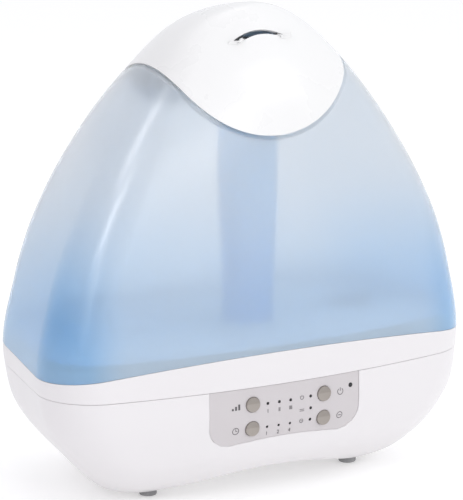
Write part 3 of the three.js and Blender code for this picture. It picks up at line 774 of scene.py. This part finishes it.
DECK_Z = 91.0
BASIN = (-30.0, 122.0, -58.0, 22.0)
BASIN_CORNER = 18.0
BASIN_FLOOR = 64.5
DECK_ROWS = 9
DECK_RIM = 3.2
TRANSDUCER_HOLE = 8
RISER_WALL, RISER_TOP_Z = 1.6, 98
FLOAT_POST = [(0, 64), (3.4, 64), (2.6, 65), (2.6, 85.6), (2.2, 86), (0, 86)]
VALVE_POST = [(0, 64), (4, 64), (2.2, 66), (2.2, 77.2), (1.8, 77.7), (0, 77.7)]
TRANSDUCER_COLLAR = [(13.3, 52), (17, 52), (17, 62.6), (13.3, 62.6)]
BOSS_HOLE, BOSS_RADIUS, BOSS_LOW_Z = 1.9, 4, 24


def basin_point(angle, grow, z):
    """The basin's rounded outline in a direction from its middle."""
    x0, x1, y0, y1 = BASIN
    cx, cy = (x0 + x1) / 2, (y0 + y1) / 2
    hx, hy, r = (x1 - x0) / 2 + grow, (y1 - y0) / 2 + grow, BASIN_CORNER + grow
    dx, dy = sin(angle), -cos(angle)
    low, high = 0.0, 200.0
    for _ in range(HALVINGS):
        t = (low + high) / 2
        ax, ay = abs(dx * t), abs(dy * t)
        out = hypot(max(ax - hx + r, 0), max(ay - hy + r, 0)) > r or ax > hx or ay > hy
        if out:
            high = t
        else:
            low = t
    return Vector((cx + dx * low, cy + dy * low, z))


def basin_angle(u):
    """The direction from the basin's middle to a column of the body."""
    p = surface(u, DECK_Z)
    return atan2(p.x - (BASIN[0] + BASIN[1]) / 2, -(p.y - (BASIN[2] + BASIN[3]) / 2))


def deck_top(u):
    return seam_height(u, -SEAM_GAP / 2)


def deck_lines():
    """The lines from the rim inwards: down to the plate, across it and down into the basin."""
    def inner(z_of, inset):
        return lambda u: surface(u, z_of(u), inset)

    def basin(z, grow):
        return lambda u: basin_point(basin_angle(u), grow, z)

    def plate(t):
        def line(u):
            outside = surface(u, DECK_Z, DECK_RIM + 1.2)
            return outside.lerp(basin_point(basin_angle(u), 1.5, DECK_Z), t)
        return line

    lines = [inner(deck_top, DECK_RIM / 2), inner(deck_top, DECK_RIM)]
    lines.append(inner(lambda u: (deck_top(u) + DECK_Z) / 2, DECK_RIM))
    lines.append(inner(lambda u: DECK_Z + 1.2, DECK_RIM))
    lines.append(inner(lambda u: DECK_Z + 0.3, DECK_RIM + 0.4))
    lines += [plate(t) for t in (0, 0.25, 0.5, 0.75, 1)]
    lines += [basin(DECK_Z - 0.5, 0.4), basin(DECK_Z - 1.5, 0)]
    lines += [basin(z, 0) for z in (84, 76, BASIN_FLOOR + 4, BASIN_FLOOR + 1.6)]
    lines += [basin(BASIN_FLOOR + 0.4, -1.2), basin(BASIN_FLOOR, -3.5), basin(BASIN_FLOOR, -20)]
    return lines


def build_riser():
    """The upstand round the air passage."""
    (x0, y0, _), (x1, y1, _) = node_box("air_duct")
    wall = RISER_WALL
    riser = block("riser", x0, x1, y0, y1, DECK_Z - 1.5, RISER_TOP_Z)
    hollow = block("tool", x0 + wall, x1 - wall, y0 + wall, y1 - wall, 60, 120)
    boolean(riser, hollow)
    bevel(riser, 0.5, 50)
    return bake(riser, tools=[hollow])


def build_deck():
    low = PARTING_Z + SEAM_GAP / 2

    def height(u, j):
        return low + (deck_top(u) - low) * j / (DECK_ROWS - 1)

    piece = shell("deck_shell", DECK_ROWS, height, surface, WHITE, head=deck_lines())
    with editing(piece) as work:
        loop = [e for e in work.edges if e.is_boundary and e.verts[0].co.z < (BASIN_FLOOR + 1) * MM]
        bmesh.ops.contextual_create(work, geom=loop)
    solidify(piece, DECK_WALL)
    bevel(piece, 0.5, 50)
    (x0, y0, _), (x1, y1, _) = node_box("air_duct")
    wall = RISER_WALL
    tools = [cylinder("tool", TRANSDUCER_HOLE, DUCT_X, DUCT_Y, 50, 70)]
    tools.append(block("tool", x0 + wall, x1 - wall, y0 + wall, y1 - wall, 70, 110))
    for tool in tools:
        boolean(piece, tool)
    bake(piece, tools=tools)
    extras = []
    for node, profile in (("float_ring", FLOAT_POST), ("valve_stem", VALVE_POST)):
        x, y, _ = middle(node)
        extras.append(turned("post", profile, x, y, WHITE, 40))
    extras.append(turned("collar", TRANSDUCER_COLLAR, DUCT_X, DUCT_Y, WHITE))
    for screw in SCREWS:
        x, y, _ = middle(screw)
        under_basin = x > 0 and y < BASIN[3] - 1
        top_z = (BASIN_FLOOR if under_basin else DECK_Z) - 1.5
        wall = [(BOSS_HOLE, BOSS_LOW_Z), (BOSS_RADIUS, BOSS_LOW_Z), (BOSS_RADIUS, top_z), (BOSS_HOLE, top_z)]
        extras.append(turned("boss", wall, x, y, WHITE, 32))
    riser = build_riser()
    for extra in extras:
        bake(extra)
    join([piece, riser] + extras)
    place(piece, "base", "white_shell", "base_deck")


FOOT_PAD = [(0, 0.35), (3.2, 0.35), (3.6, 0), (5.0, 0), (5.7, 0.35), (6, 1.1), (6, 2.1), (5.75, 2.4),
            (6, 2.7), (6, 5.5), (0, 5.5)]
GLAND_BUSH = [(2.2, 78), (4.5, 78), (4.5, 84.6), (7.6, 84.6), (8, 84.9), (8, 85.4), (7.7, 85.8),
              (6.2, 86.1), (5.4, 86.7), (4.6, 86.8), (3.2, 86.8), (2.5, 86.5), (2.2, 86.0)]


def build_feet():
    for k, node in enumerate(FEET, start=1):
        x, y, _ = middle(node)
        foot = bake(turned(f"foot_pad_{k}", FOOT_PAD, x, y, RUBBER), 60)
        place(foot, "base", "grey_rubber", node)


def build_gland():
    piece = bake(turned("gland_bush", GLAND_BUSH, GLAND_X, 0, RUBBER, 64, "Y", GLAND_Z), 50)
    place(piece, "base", "grey_rubber", "cord_gland")


# ---------------------------------------------------------------- control panel


PANEL_STEP, PANEL_STEPS_X, PANEL_ROWS, PANEL_FROM_Z = 2.5, 50, 19, 36.5
PANEL_GAP, BUTTON_GAP, WINDOW_GAP = 0.22, 0.3, 0.12
CUT_FROM_Y, CUT_TO_Y = -110, -60
BUTTON_RADIUS = 5.15
DISH_STEPS, DISH_SHARE, DISH_LOW, DISH_DEPTH = 9, 0.86, 0.75, 0.55
LENS_STEPS, LENS_SHARE, LENS_FRONT, LENS_CROWN = 5, 0.96, 0.22, 0.2
BUTTONS = [node for node in sorted(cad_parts) if node.endswith("_button")]
WINDOWS = [node for node in sorted(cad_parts) if "_light_" in node or node == "sensor_window"]


def panel_face(x, z):
    return front_point(x, z, PANEL_RECESS)


def on_panel(piece, lift):
    """Lays a flat piece, drawn in x and z, on the panel's face."""
    for vertex in piece.data.vertices:
        x, z = vertex.co.x / MM, vertex.co.z / MM
        vertex.co.y = (panel_face(x, z).y - lift) * MM + vertex.co.y


def panel_prism():
    """A block with the panel's outline, to cut the panel out of a larger sheet."""
    right = panel_half_edge(PANEL_GAP, 40, 60)
    edge = [(-x, z) for x, z in right[:0:-1]] + right
    edge = [(x, min(z, HOUSING_TOP - 0.1)) for x, z in edge]
    n = len(edge)
    corners = [(x, y, z) for y in (CUT_FROM_Y, CUT_TO_Y) for x, z in edge]
    sides = [(i, (i + 1) % n, n + (i + 1) % n, n + i) for i in range(n)]
    sides += [tuple(range(n)), tuple(range(2 * n - 1, n - 1, -1))]
    return new_object("tool", corners, sides, PANEL)


def build_panel():
    columns = PANEL_STEPS_X + 1
    vertices = [
        panel_face((i - PANEL_STEPS_X / 2) * PANEL_STEP, PANEL_FROM_Z + j * PANEL_STEP)
        for j in range(PANEL_ROWS) for i in range(columns)
    ]
    starts = [j * columns + i for j in range(PANEL_ROWS - 1) for i in range(PANEL_STEPS_X)]
    faces = [(k, k + 1, k + columns + 1, k + columns) for k in starts]
    piece = new_object("panel_face", vertices, faces, PANEL)
    flip_towards(piece, (0, -1, 0))
    solidify(piece, PANEL_THICK)
    tools = [panel_prism()]
    boolean(piece, tools[0], "INTERSECT")
    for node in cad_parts:
        if node in BUTTONS or node in WINDOWS:
            low, high = node_box(node)
            x, _, z = middle(node)
            radius = (high[2] - low[2]) / 2 + (BUTTON_GAP if node in BUTTONS else WINDOW_GAP)
            tools.append(rod("tool", radius, x, z, CUT_FROM_Y, CUT_TO_Y, 40))
            boolean(piece, tools[-1])
    bevel(piece, 0.22, 50, 2)
    bake(piece, tools=tools)
    place(piece, "base", "panel_plastic", "control_panel")


def flip_towards(piece, direction):
    """Turns a sheet over if its first face looks away from a direction."""
    if piece.data.polygons[0].normal.dot(Vector(direction)) < 0:
        piece.data.flip_normals()


def build_buttons():
    """Each button has a shallow dish in its face and a rounded rim."""
    for node in BUTTONS:
        low, high = node_box(node)
        x, _, z = middle(node)
        face, back = low[1], high[1]
        radius = BUTTON_RADIUS
        profile = []
        for i in range(DISH_STEPS + 1):
            t = i / DISH_STEPS
            profile.append((radius * t * DISH_SHARE, face + DISH_LOW - DISH_DEPTH * t**2))
        profile += [(radius - 0.4, face + 0.06), (radius - 0.2, face + 0.04), (radius - 0.05, face + 0.2)]
        profile += [(radius, face + 0.5), (radius, back - 0.3), (radius - 0.35, back), (0, back)]
        piece = bake(turned(f"{node}_top", profile, x, 0, BUTTON, 64, "Y", z), 60)
        place(piece, node, "button_plastic", node)


def build_windows():
    """Each light and the sensor has a dark lens with a low crown."""
    for node in WINDOWS:
        low, high = node_box(node)
        x, _, z = middle(node)
        radius, back = (high[2] - low[2]) / 2, high[1]
        face = panel_face(x, z).y
        profile = []
        for i in range(LENS_STEPS + 1):
            t = i / LENS_STEPS
            profile.append((radius * t * LENS_SHARE, face - LENS_FRONT + LENS_CROWN * t**2))
        profile += [(radius, face + 0.12), (radius, back), (0, back)]
        piece = bake(turned(f"{node}_lens", profile, x, 0, WINDOW, 32, "Y", z), 60)
        place(piece, "base", "light_window", node)


MARK_THICK, MARK_LIFT, MARK_WELD = 0.08, 0.1, 0.004
FLAT = (0, MARK_THICK)
MARK_COLUMNS = (-14.6, -5.7, 3.1)
MODE_MARK_Z, TIMER_MARK_Z = PARTING_Z - 17.6, PARTING_Z - 33.9
LEFT_SIGN_X, RIGHT_SIGN_X, LAMP_SIGN_X = -38.5, 43.0, 12.0
UPPER_SIGN_Z, LOWER_SIGN_Z = 67.2, 50.4
LAMP_SIGN_Z = (67.5, 59.0, 50.9)
RING_OPENING = 0.6


def flat_bars(bars):
    """Thin bars (x0, x1, z0, z1) as one flat closed mesh with a little thickness."""
    vertices, faces = [], []
    for x0, x1, z0, z1 in bars:
        k = len(vertices)
        vertices += [(x, y, z) for y in FLAT for z in (z0, z1) for x in (x0, x1)]
        faces += [(k, k + 1, k + 3, k + 2), (k + 4, k + 6, k + 7, k + 5), (k, k + 4, k + 5, k + 1),
                  (k + 1, k + 5, k + 7, k + 3), (k + 3, k + 7, k + 6, k + 2), (k + 2, k + 6, k + 4, k)]
    return vertices, faces


def flat_ring(cx, cz, radius, width, opening=0.0, steps=28):
    """A flat ring as strips with a little thickness, or an arc that is open at the top."""
    vertices, faces = [], []
    for i in range(steps + 1):
        a = opening + (2 * pi - opening - opening) * i / steps
        for r in (radius - width, radius):
            for y in FLAT:
                vertices.append((cx + r * sin(a), y, cz + r * cos(a)))
        if i:
            p, q = 4 * (i - 1), 4 * i
            faces += [(p, q, q + 2, p + 2), (p + 1, p + 3, q + 3, q + 1)]
            faces += [(p, p + 1, q + 1, q), (p + 2, q + 2, q + 3, p + 3)]
    if opening:
        faces += [(0, 2, 3, 1), (4 * steps, 4 * steps + 1, 4 * steps + 3, 4 * steps + 2)]
    return vertices, faces


def merge(parts):
    """Several (vertices, faces) as one."""
    vertices, faces = [], []
    for v, f in parts:
        k = len(vertices)
        vertices += v
        faces += [tuple(k + i for i in face) for face in f]
    return vertices, faces


def numeral(text, x, z, size):
    """A plain numeral from the built-in font, flat in the front view."""
    curve = bpy.data.curves.new("numeral", "FONT")
    curve.body = text
    curve.size = size * MM
    curve.extrude = MARK_THICK / 2 * MM
    curve.align_x = "CENTER"
    curve.align_y = "CENTER"
    source = bpy.data.objects.new("numeral", curve)
    bpy.context.scene.collection.objects.link(source)
    bpy.context.view_layer.update()
    graph = bpy.context.evaluated_depsgraph_get()
    mesh = bpy.data.meshes.new_from_object(source.evaluated_get(graph))
    bpy.data.objects.remove(source)
    vertices = [(v.co.x / MM + x, -v.co.z / MM, v.co.y / MM + z) for v in mesh.vertices]
    faces = [tuple(p.vertices) for p in mesh.polygons]
    bpy.data.meshes.remove(mesh)
    return vertices, faces


def strokes(count, x, z):
    """One to three upright strokes side by side."""
    bars = []
    for k in range(count):
        at = 0.8 * (k - (count - 1) / 2)
        bars.append((x - 0.22 + at, x + 0.22 + at, z - 1.3, z + 1.3))
    return [flat_bars(bars)]


def rising_bars(x, z):
    bars = [(x - 3.4 + 2.4 * k, x - 2.0 + 2.4 * k, z - 2, z - 0.6 + 1.3 * k) for k in range(3)]
    return [flat_bars(bars)]


def clock(x, z):
    hands = [(x - 0.2, x + 0.2, z, z + 1.7), (x, x + 1.3, z - 0.2, z + 0.2)]
    return [flat_ring(x, z, 2.5, 0.45), flat_bars(hands)]


def open_ring(x, z, radius, width, bar):
    """A ring open at the top, with an upright bar (half width, z0, z1) in the opening."""
    half, z0, z1 = bar
    return [flat_ring(x, z, radius, width, RING_OPENING), flat_bars([(x - half, x + half, z + z0, z + z1)])]


def barred_ring(x, z, radius, width, bar):
    """A ring with a level bar (half length, half width) across its middle."""
    reach, half = bar
    return [flat_ring(x, z, radius, width), flat_bars([(x - reach, x + reach, z - half, z + half)])]


def level_lines(x, z):
    return [flat_bars([(x - 1.8, x + 1.8, z - 1.1 * k, z + 0.36 - 1.1 * k) for k in range(2)])]


def build_marks():
    """Generic dial marks: numerals under the lights and plain signs beside the buttons."""
    parts = []
    for count, x in enumerate(MARK_COLUMNS, start=1):
        parts += strokes(count, x, MODE_MARK_Z)
    for text, x in zip("124", MARK_COLUMNS):
        parts.append(numeral(text, x, TIMER_MARK_Z, 3.9))
    parts += rising_bars(LEFT_SIGN_X, UPPER_SIGN_Z)
    parts += clock(LEFT_SIGN_X, LOWER_SIGN_Z)
    parts += open_ring(RIGHT_SIGN_X, UPPER_SIGN_Z, 2.4, 0.45, (0.22, 0.3, 2.7))
    parts += barred_ring(RIGHT_SIGN_X, LOWER_SIGN_Z, 2.4, 0.4, (1.2, 0.22))
    parts += open_ring(LAMP_SIGN_X, LAMP_SIGN_Z[0], 1.5, 0.36, (0.18, 0.2, 1.7))
    parts += level_lines(LAMP_SIGN_X, LAMP_SIGN_Z[1])
    parts += barred_ring(LAMP_SIGN_X, LAMP_SIGN_Z[2], 1.5, 0.33, (0.75, 0.17))
    vertices, faces = merge(parts)
    piece = new_object("panel_marks", vertices, faces, INK, smooth=False)
    weld(piece, MARK_WELD)
    on_panel(piece, MARK_LIFT)
    place(piece, "base", "light_window")


# ---------------------------------------------------------------- tank

TANK_ROWS = 64
GROOVE_DEPTH, GROOVE_WIDTH = 2.1, 3.6
CROWN_HOLE = 18.5
NECK_SHARES = (0.2, 0.4, 0.6, 0.8, 1.0)
# Shares of the way from the neck's edge to the duct's hole, with the drop below the neck's top.
CROWN_LINES = [(0, 0.8), (0.03, 0.2), (0.08, 0), (0.35, 0), (0.7, 0), (1, 0)]
DUCT_STEPS, DUCT_WALL, DUCT_LIP = 24, 2, 0.4
DUCT_LOW_RADIUS, DUCT_FLARE, FLARE_FROM_Z, FLARE_RISE = 17.5, 3.0, 125, 95


def build_tank():
    def height(u, j):
        low, high = seam_height(u, SEAM_GAP / 2), cap_height(u, GROOVE_WIDTH)
        w0, w1 = depth_measure(low), depth_measure(high)
        w = w0 + (w1 - w0) * j / (TANK_ROWS - 1)
        return HEIGHT * (1 - w * w)

    def groove(grow, inset):
        return lambda u: surface(u, cap_height(u, grow), inset)

    def neck(t):
        def line(u):
            z = cap_height(u, 0.2)
            return surface(u, z + (NECK_TOP_Z - 2.5 - z) * t, NECK_INSET)
        return line

    def crown(t, drop):
        def line(u):
            p = surface(u, NECK_TOP_Z - 0.1, NECK_INSET + 0.8)
            a = atan2(p.x - DUCT_X, -(p.y - DUCT_Y))
            q = Vector((DUCT_X + CROWN_HOLE * sin(a), DUCT_Y - CROWN_HOLE * cos(a), NECK_TOP_Z))
            r = p.lerp(q, t)
            return Vector((r.x, r.y, NECK_TOP_Z - drop))
        return line

    head = [groove(GROOVE_WIDTH * 0.75, 0.15), groove(GROOVE_WIDTH * 0.55, GROOVE_DEPTH * 0.7)]
    head += [groove(GROOVE_WIDTH * 0.4, GROOVE_DEPTH), groove(0.2, GROOVE_DEPTH + 0.1)]
    head.append(groove(0.2, NECK_INSET))
    head += [neck(t) for t in NECK_SHARES]
    head += [crown(t, drop) for t, drop in CROWN_LINES]
    piece = shell("tank_wall", TANK_ROWS, height, surface, TANK, head=head)
    solidify(piece, TANK_WALL)
    bevel(piece, 0.35, 60, 2)
    bake(piece)
    place(piece, "tank", "tank_plastic", "tank_shell")


def build_duct():
    low, high = node_box("mist_duct")
    z0, z1 = low[2], high[2]
    outer = []
    for i in range(DUCT_STEPS + 1):
        z = z0 + (z1 - z0) * i / DUCT_STEPS
        outer.append((DUCT_LOW_RADIUS + DUCT_FLARE * smoothstep((z - FLARE_FROM_Z) / FLARE_RISE), z))
    inner = [(r - DUCT_WALL, z) for r, z in reversed(outer)]
    rim, bore = outer[-1][0], inner[0][0]
    lip = [(rim - DUCT_LIP, z1), (bore + DUCT_LIP, z1)]
    outer[-1] = (rim, z1 - DUCT_LIP)
    inner[0] = (bore, z1 - DUCT_LIP)
    piece = bake(turned("duct_tube", outer + lip + inner, DUCT_X, DUCT_Y, DUCT, 96), 60)
    place(piece, "tank", "duct_plastic", "mist_duct")


# ---------------------------------------------------------------- mist cap

CAP_ROWS, CAP_REACH = 44, 0.985
CAP_PATCH_U, CAP_PATCH_LOW_Z, CAP_PATCH_HIGH_Z, CAP_PATCH_RINGS = 0.82, 303.5, 323.0, 7
CROWN_EDGE_Z = 328.5
MOUTH_HALF, MOUTH_LOW_Z, MOUTH_RISE = 18.6, 308.6, 4.7


def mouth_section(s):
    """The mouth's middle, slope and half height at a share s from its left end, -1, to its right."""
    x, z = MOUTH_HALF * s, MOUTH_LOW_Z + MOUTH_RISE * (1 - s * s)
    return x, z, -2 * MOUTH_RISE * s / MOUTH_HALF, 1.35 - 0.4 * s - 0.15 * s * s


def mouth_end(s, turns):
    """The places of one round end, anticlockwise and without its two corners."""
    x, z, slope, half = mouth_section(s)
    start = atan2(1, -slope) + (pi if s > 0 else 0)
    turned_by = [start + pi * i / turns for i in range(1, turns)]
    return [(x + half * cos(a), z + half * sin(a)) for a in turned_by]


def mouth_edge(per_side, per_end):
    """The mouth's edge (x, z), anticlockwise from its left end's upper corner."""
    lower = []
    upper = []
    for i in range(per_side + 1):
        s = -1 + 2 * i / per_side
        s = sin(s * pi / 2) * 0.35 + s * 0.65
        x, z, slope, half = mouth_section(s)
        n = Vector((-slope, 1)).normalized() * half
        lower.append((x - n.x, z - n.y))
        upper.append((x + n.x, z + n.y))
    return [upper[0]] + mouth_end(-1, per_end) + lower + mouth_end(1, per_end) + upper[:0:-1]


def build_cap():
    def height(u, j):
        edge = depth_measure(cap_height(u, 0))
        w = edge * (1 - (j / (CAP_ROWS - 1)) * CAP_REACH)
        return HEIGHT * (1 - w * w)

    j0 = next(j for j in range(CAP_ROWS) if height(0, j) > CAP_PATCH_LOW_Z)
    j1 = next(j for j in range(CAP_ROWS) if height(0, j) > CAP_PATCH_HIGH_Z)
    i1 = nearest_column(CAP_PATCH_U)
    i0 = len(COLUMNS) - 2 - i1
    loop = [(u_for_x(x, z), z) for x, z in mouth_edge(i1 - i0, j1 - j0)]
    hole = (i0, i1, j0, j1, loop, CAP_PATCH_RINGS, False)
    piece = shell("cap_dome", CAP_ROWS, height, surface, CAP_WHITE, hole=hole)
    close_crown(piece)
    solidify(piece, CAP_WALL)
    bevel(piece, 0.16, 50, 2, clamp=False)
    bake(piece)
    place(piece, "cap", "white_shell", "top_cap")


def close_crown(piece):
    """Closes the small opening that the rows leave round the very top."""
    with editing(piece) as work:
        edges = [e for e in work.edges if e.is_boundary]
        loop = [e for e in edges if min(v.co.z for v in e.verts) > CROWN_EDGE_Z * MM]
        top = work.verts.new(Vector((DUCT_X, DUCT_Y, HEIGHT - 0.02)) * MM)
        for edge in loop:
            work.faces.new((edge.verts[0], edge.verts[1], top))
        bmesh.ops.recalc_face_normals(work, faces=work.faces)
        for face in work.faces:
            face.smooth = True


build_housing()
build_deck()
build_feet()
build_gland()
build_panel()
build_buttons()
build_windows()
build_marks()
build_tank()
build_duct()
build_cap()

# ---------------------------------------------------------------- CAD nodes that stay

FINISHES = {
    "tank_floor": FLOOR_BLUE, "fill_cap": WHITE, "transformer": COPPER, "driver_heat_sink": ALUMINIUM,
    "transducer_disc": BRASS, "transducer_plate": STEEL, "valve_spring": STEEL,
    "control_board": BOARD, "main_board": BOARD,
}
CORNER_WELD = 0.005
# Widths in millimetres of the rounded edges.
SOFTENED = {
    "fill_cap": 0.35, "mist_nozzle": 0.25, "float_ring": 0.3, "fan_housing": 0.3, "air_duct": 0.3,
    "intake_grille": 0.2, "transformer": 0.4, "driver_heat_sink": 0.15, "transducer_plate": 0.2,
}
for name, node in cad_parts.items():
    finish = FINISHES.get(name, INNER)
    if name in SCREWS:
        finish = STEEL
    if "seal" in name:
        finish = RUBBER
    node.data.materials.clear()
    node.data.materials.append(finish)
    if name in SOFTENED:
        joined = node.modifiers.new("joined_corners", "WELD")
        joined.merge_threshold = CORNER_WELD * MM
        bevel(node, SOFTENED[name], segments=2)

# ---------------------------------------------------------------- studio


def area_light(name, place_at, target, size, power, colour=(1, 1, 1)):
    light = bpy.data.lights.new(name, "AREA")
    light.shape = "RECTANGLE"
    light.size, light.size_y = size
    light.energy = power
    light.color = colour
    lamp = bpy.data.objects.new(name, light)
    lamp.location = place_at
    aim = Vector(target) - Vector(place_at)
    lamp.rotation_euler = aim.to_track_quat("-Z", "Y").to_euler()
    bpy.context.scene.collection.objects.link(lamp)


floor_look = Look("studio_floor", (0.72, 0.72, 0.72), 0.8, specular=0.05)
floor_look.set({"Emission Color": (1, 1, 1, 1), "Emission Strength": 0.36})
bpy.ops.mesh.primitive_plane_add(size=30)
floor = bpy.context.object
floor.name = "studio_floor"
floor.data.materials.append(floor_look.material)


SKY_BRIGHT, SKY_DIM = (0.96, 0.97, 1), (0.26, 0.24, 0.28)
DIM_SIDE = (-0.98, -0.05, 0.1)


def studio_world():
    """An even white surround that falls off to a soft grey on the left of the view."""
    world = bpy.data.worlds.new("studio")
    world.use_nodes = True
    tree = Tree(world)
    towards = tree.nodes.new("ShaderNodeVectorMath")
    towards.operation = "DOT_PRODUCT"
    tree.fill(towards, {0: tree.place("Generated"), 1: DIM_SIDE})
    fall = tree.between(towards.outputs["Value"], 0.1, 0.9)
    tree.fill(tree.nodes["Background"], {"Color": tree.tint(fall, SKY_BRIGHT, SKY_DIM)})
    bpy.context.scene.world = world


studio_world()
TARGET = (0, 0, 0.16)
area_light("key", (0.9, -1.45, 1.15), TARGET, (0.9, 0.9), 5, (1.0, 0.985, 0.96))
area_light("left_low", (-1.42, -0.98, 0.46), TARGET, (0.2, 0.5), 1.2)
area_light("left_middle", (-1.38, -0.64, 0.96), TARGET, (0.2, 0.5), 3.2)
area_light("left_high", (-1.18, -0.10, 1.36), TARGET, (0.24, 0.5), 2.6)
area_light("front", (0.25, -1.8, 0.62), TARGET, (0.7, 0.5), 2)
area_light("top", (0.1, 0.1, 2.0), TARGET, (1.5, 1.0), 4)

VIEW_TURN, VIEW_RISE = radians(-30), asin(0.24)
VIEW_DISTANCE = 3.0
AIM = Vector((-0.0198, -0.0466, 0.1653))
back = Vector((sin(VIEW_TURN) * cos(VIEW_RISE), -cos(VIEW_TURN) * cos(VIEW_RISE), sin(VIEW_RISE)))
camera_data = bpy.data.cameras.new("camera")
camera_data.lens = 320.9
camera_data.sensor_width = 36
camera_data.clip_end = 50
camera = bpy.data.objects.new("camera", camera_data)
camera.location = AIM + back * VIEW_DISTANCE
camera.rotation_euler = (-back).to_track_quat("-Z", "Y").to_euler()
bpy.context.scene.collection.objects.link(camera)
bpy.context.scene.camera = camera
bpy.context.scene.view_settings.view_transform = "Standard"
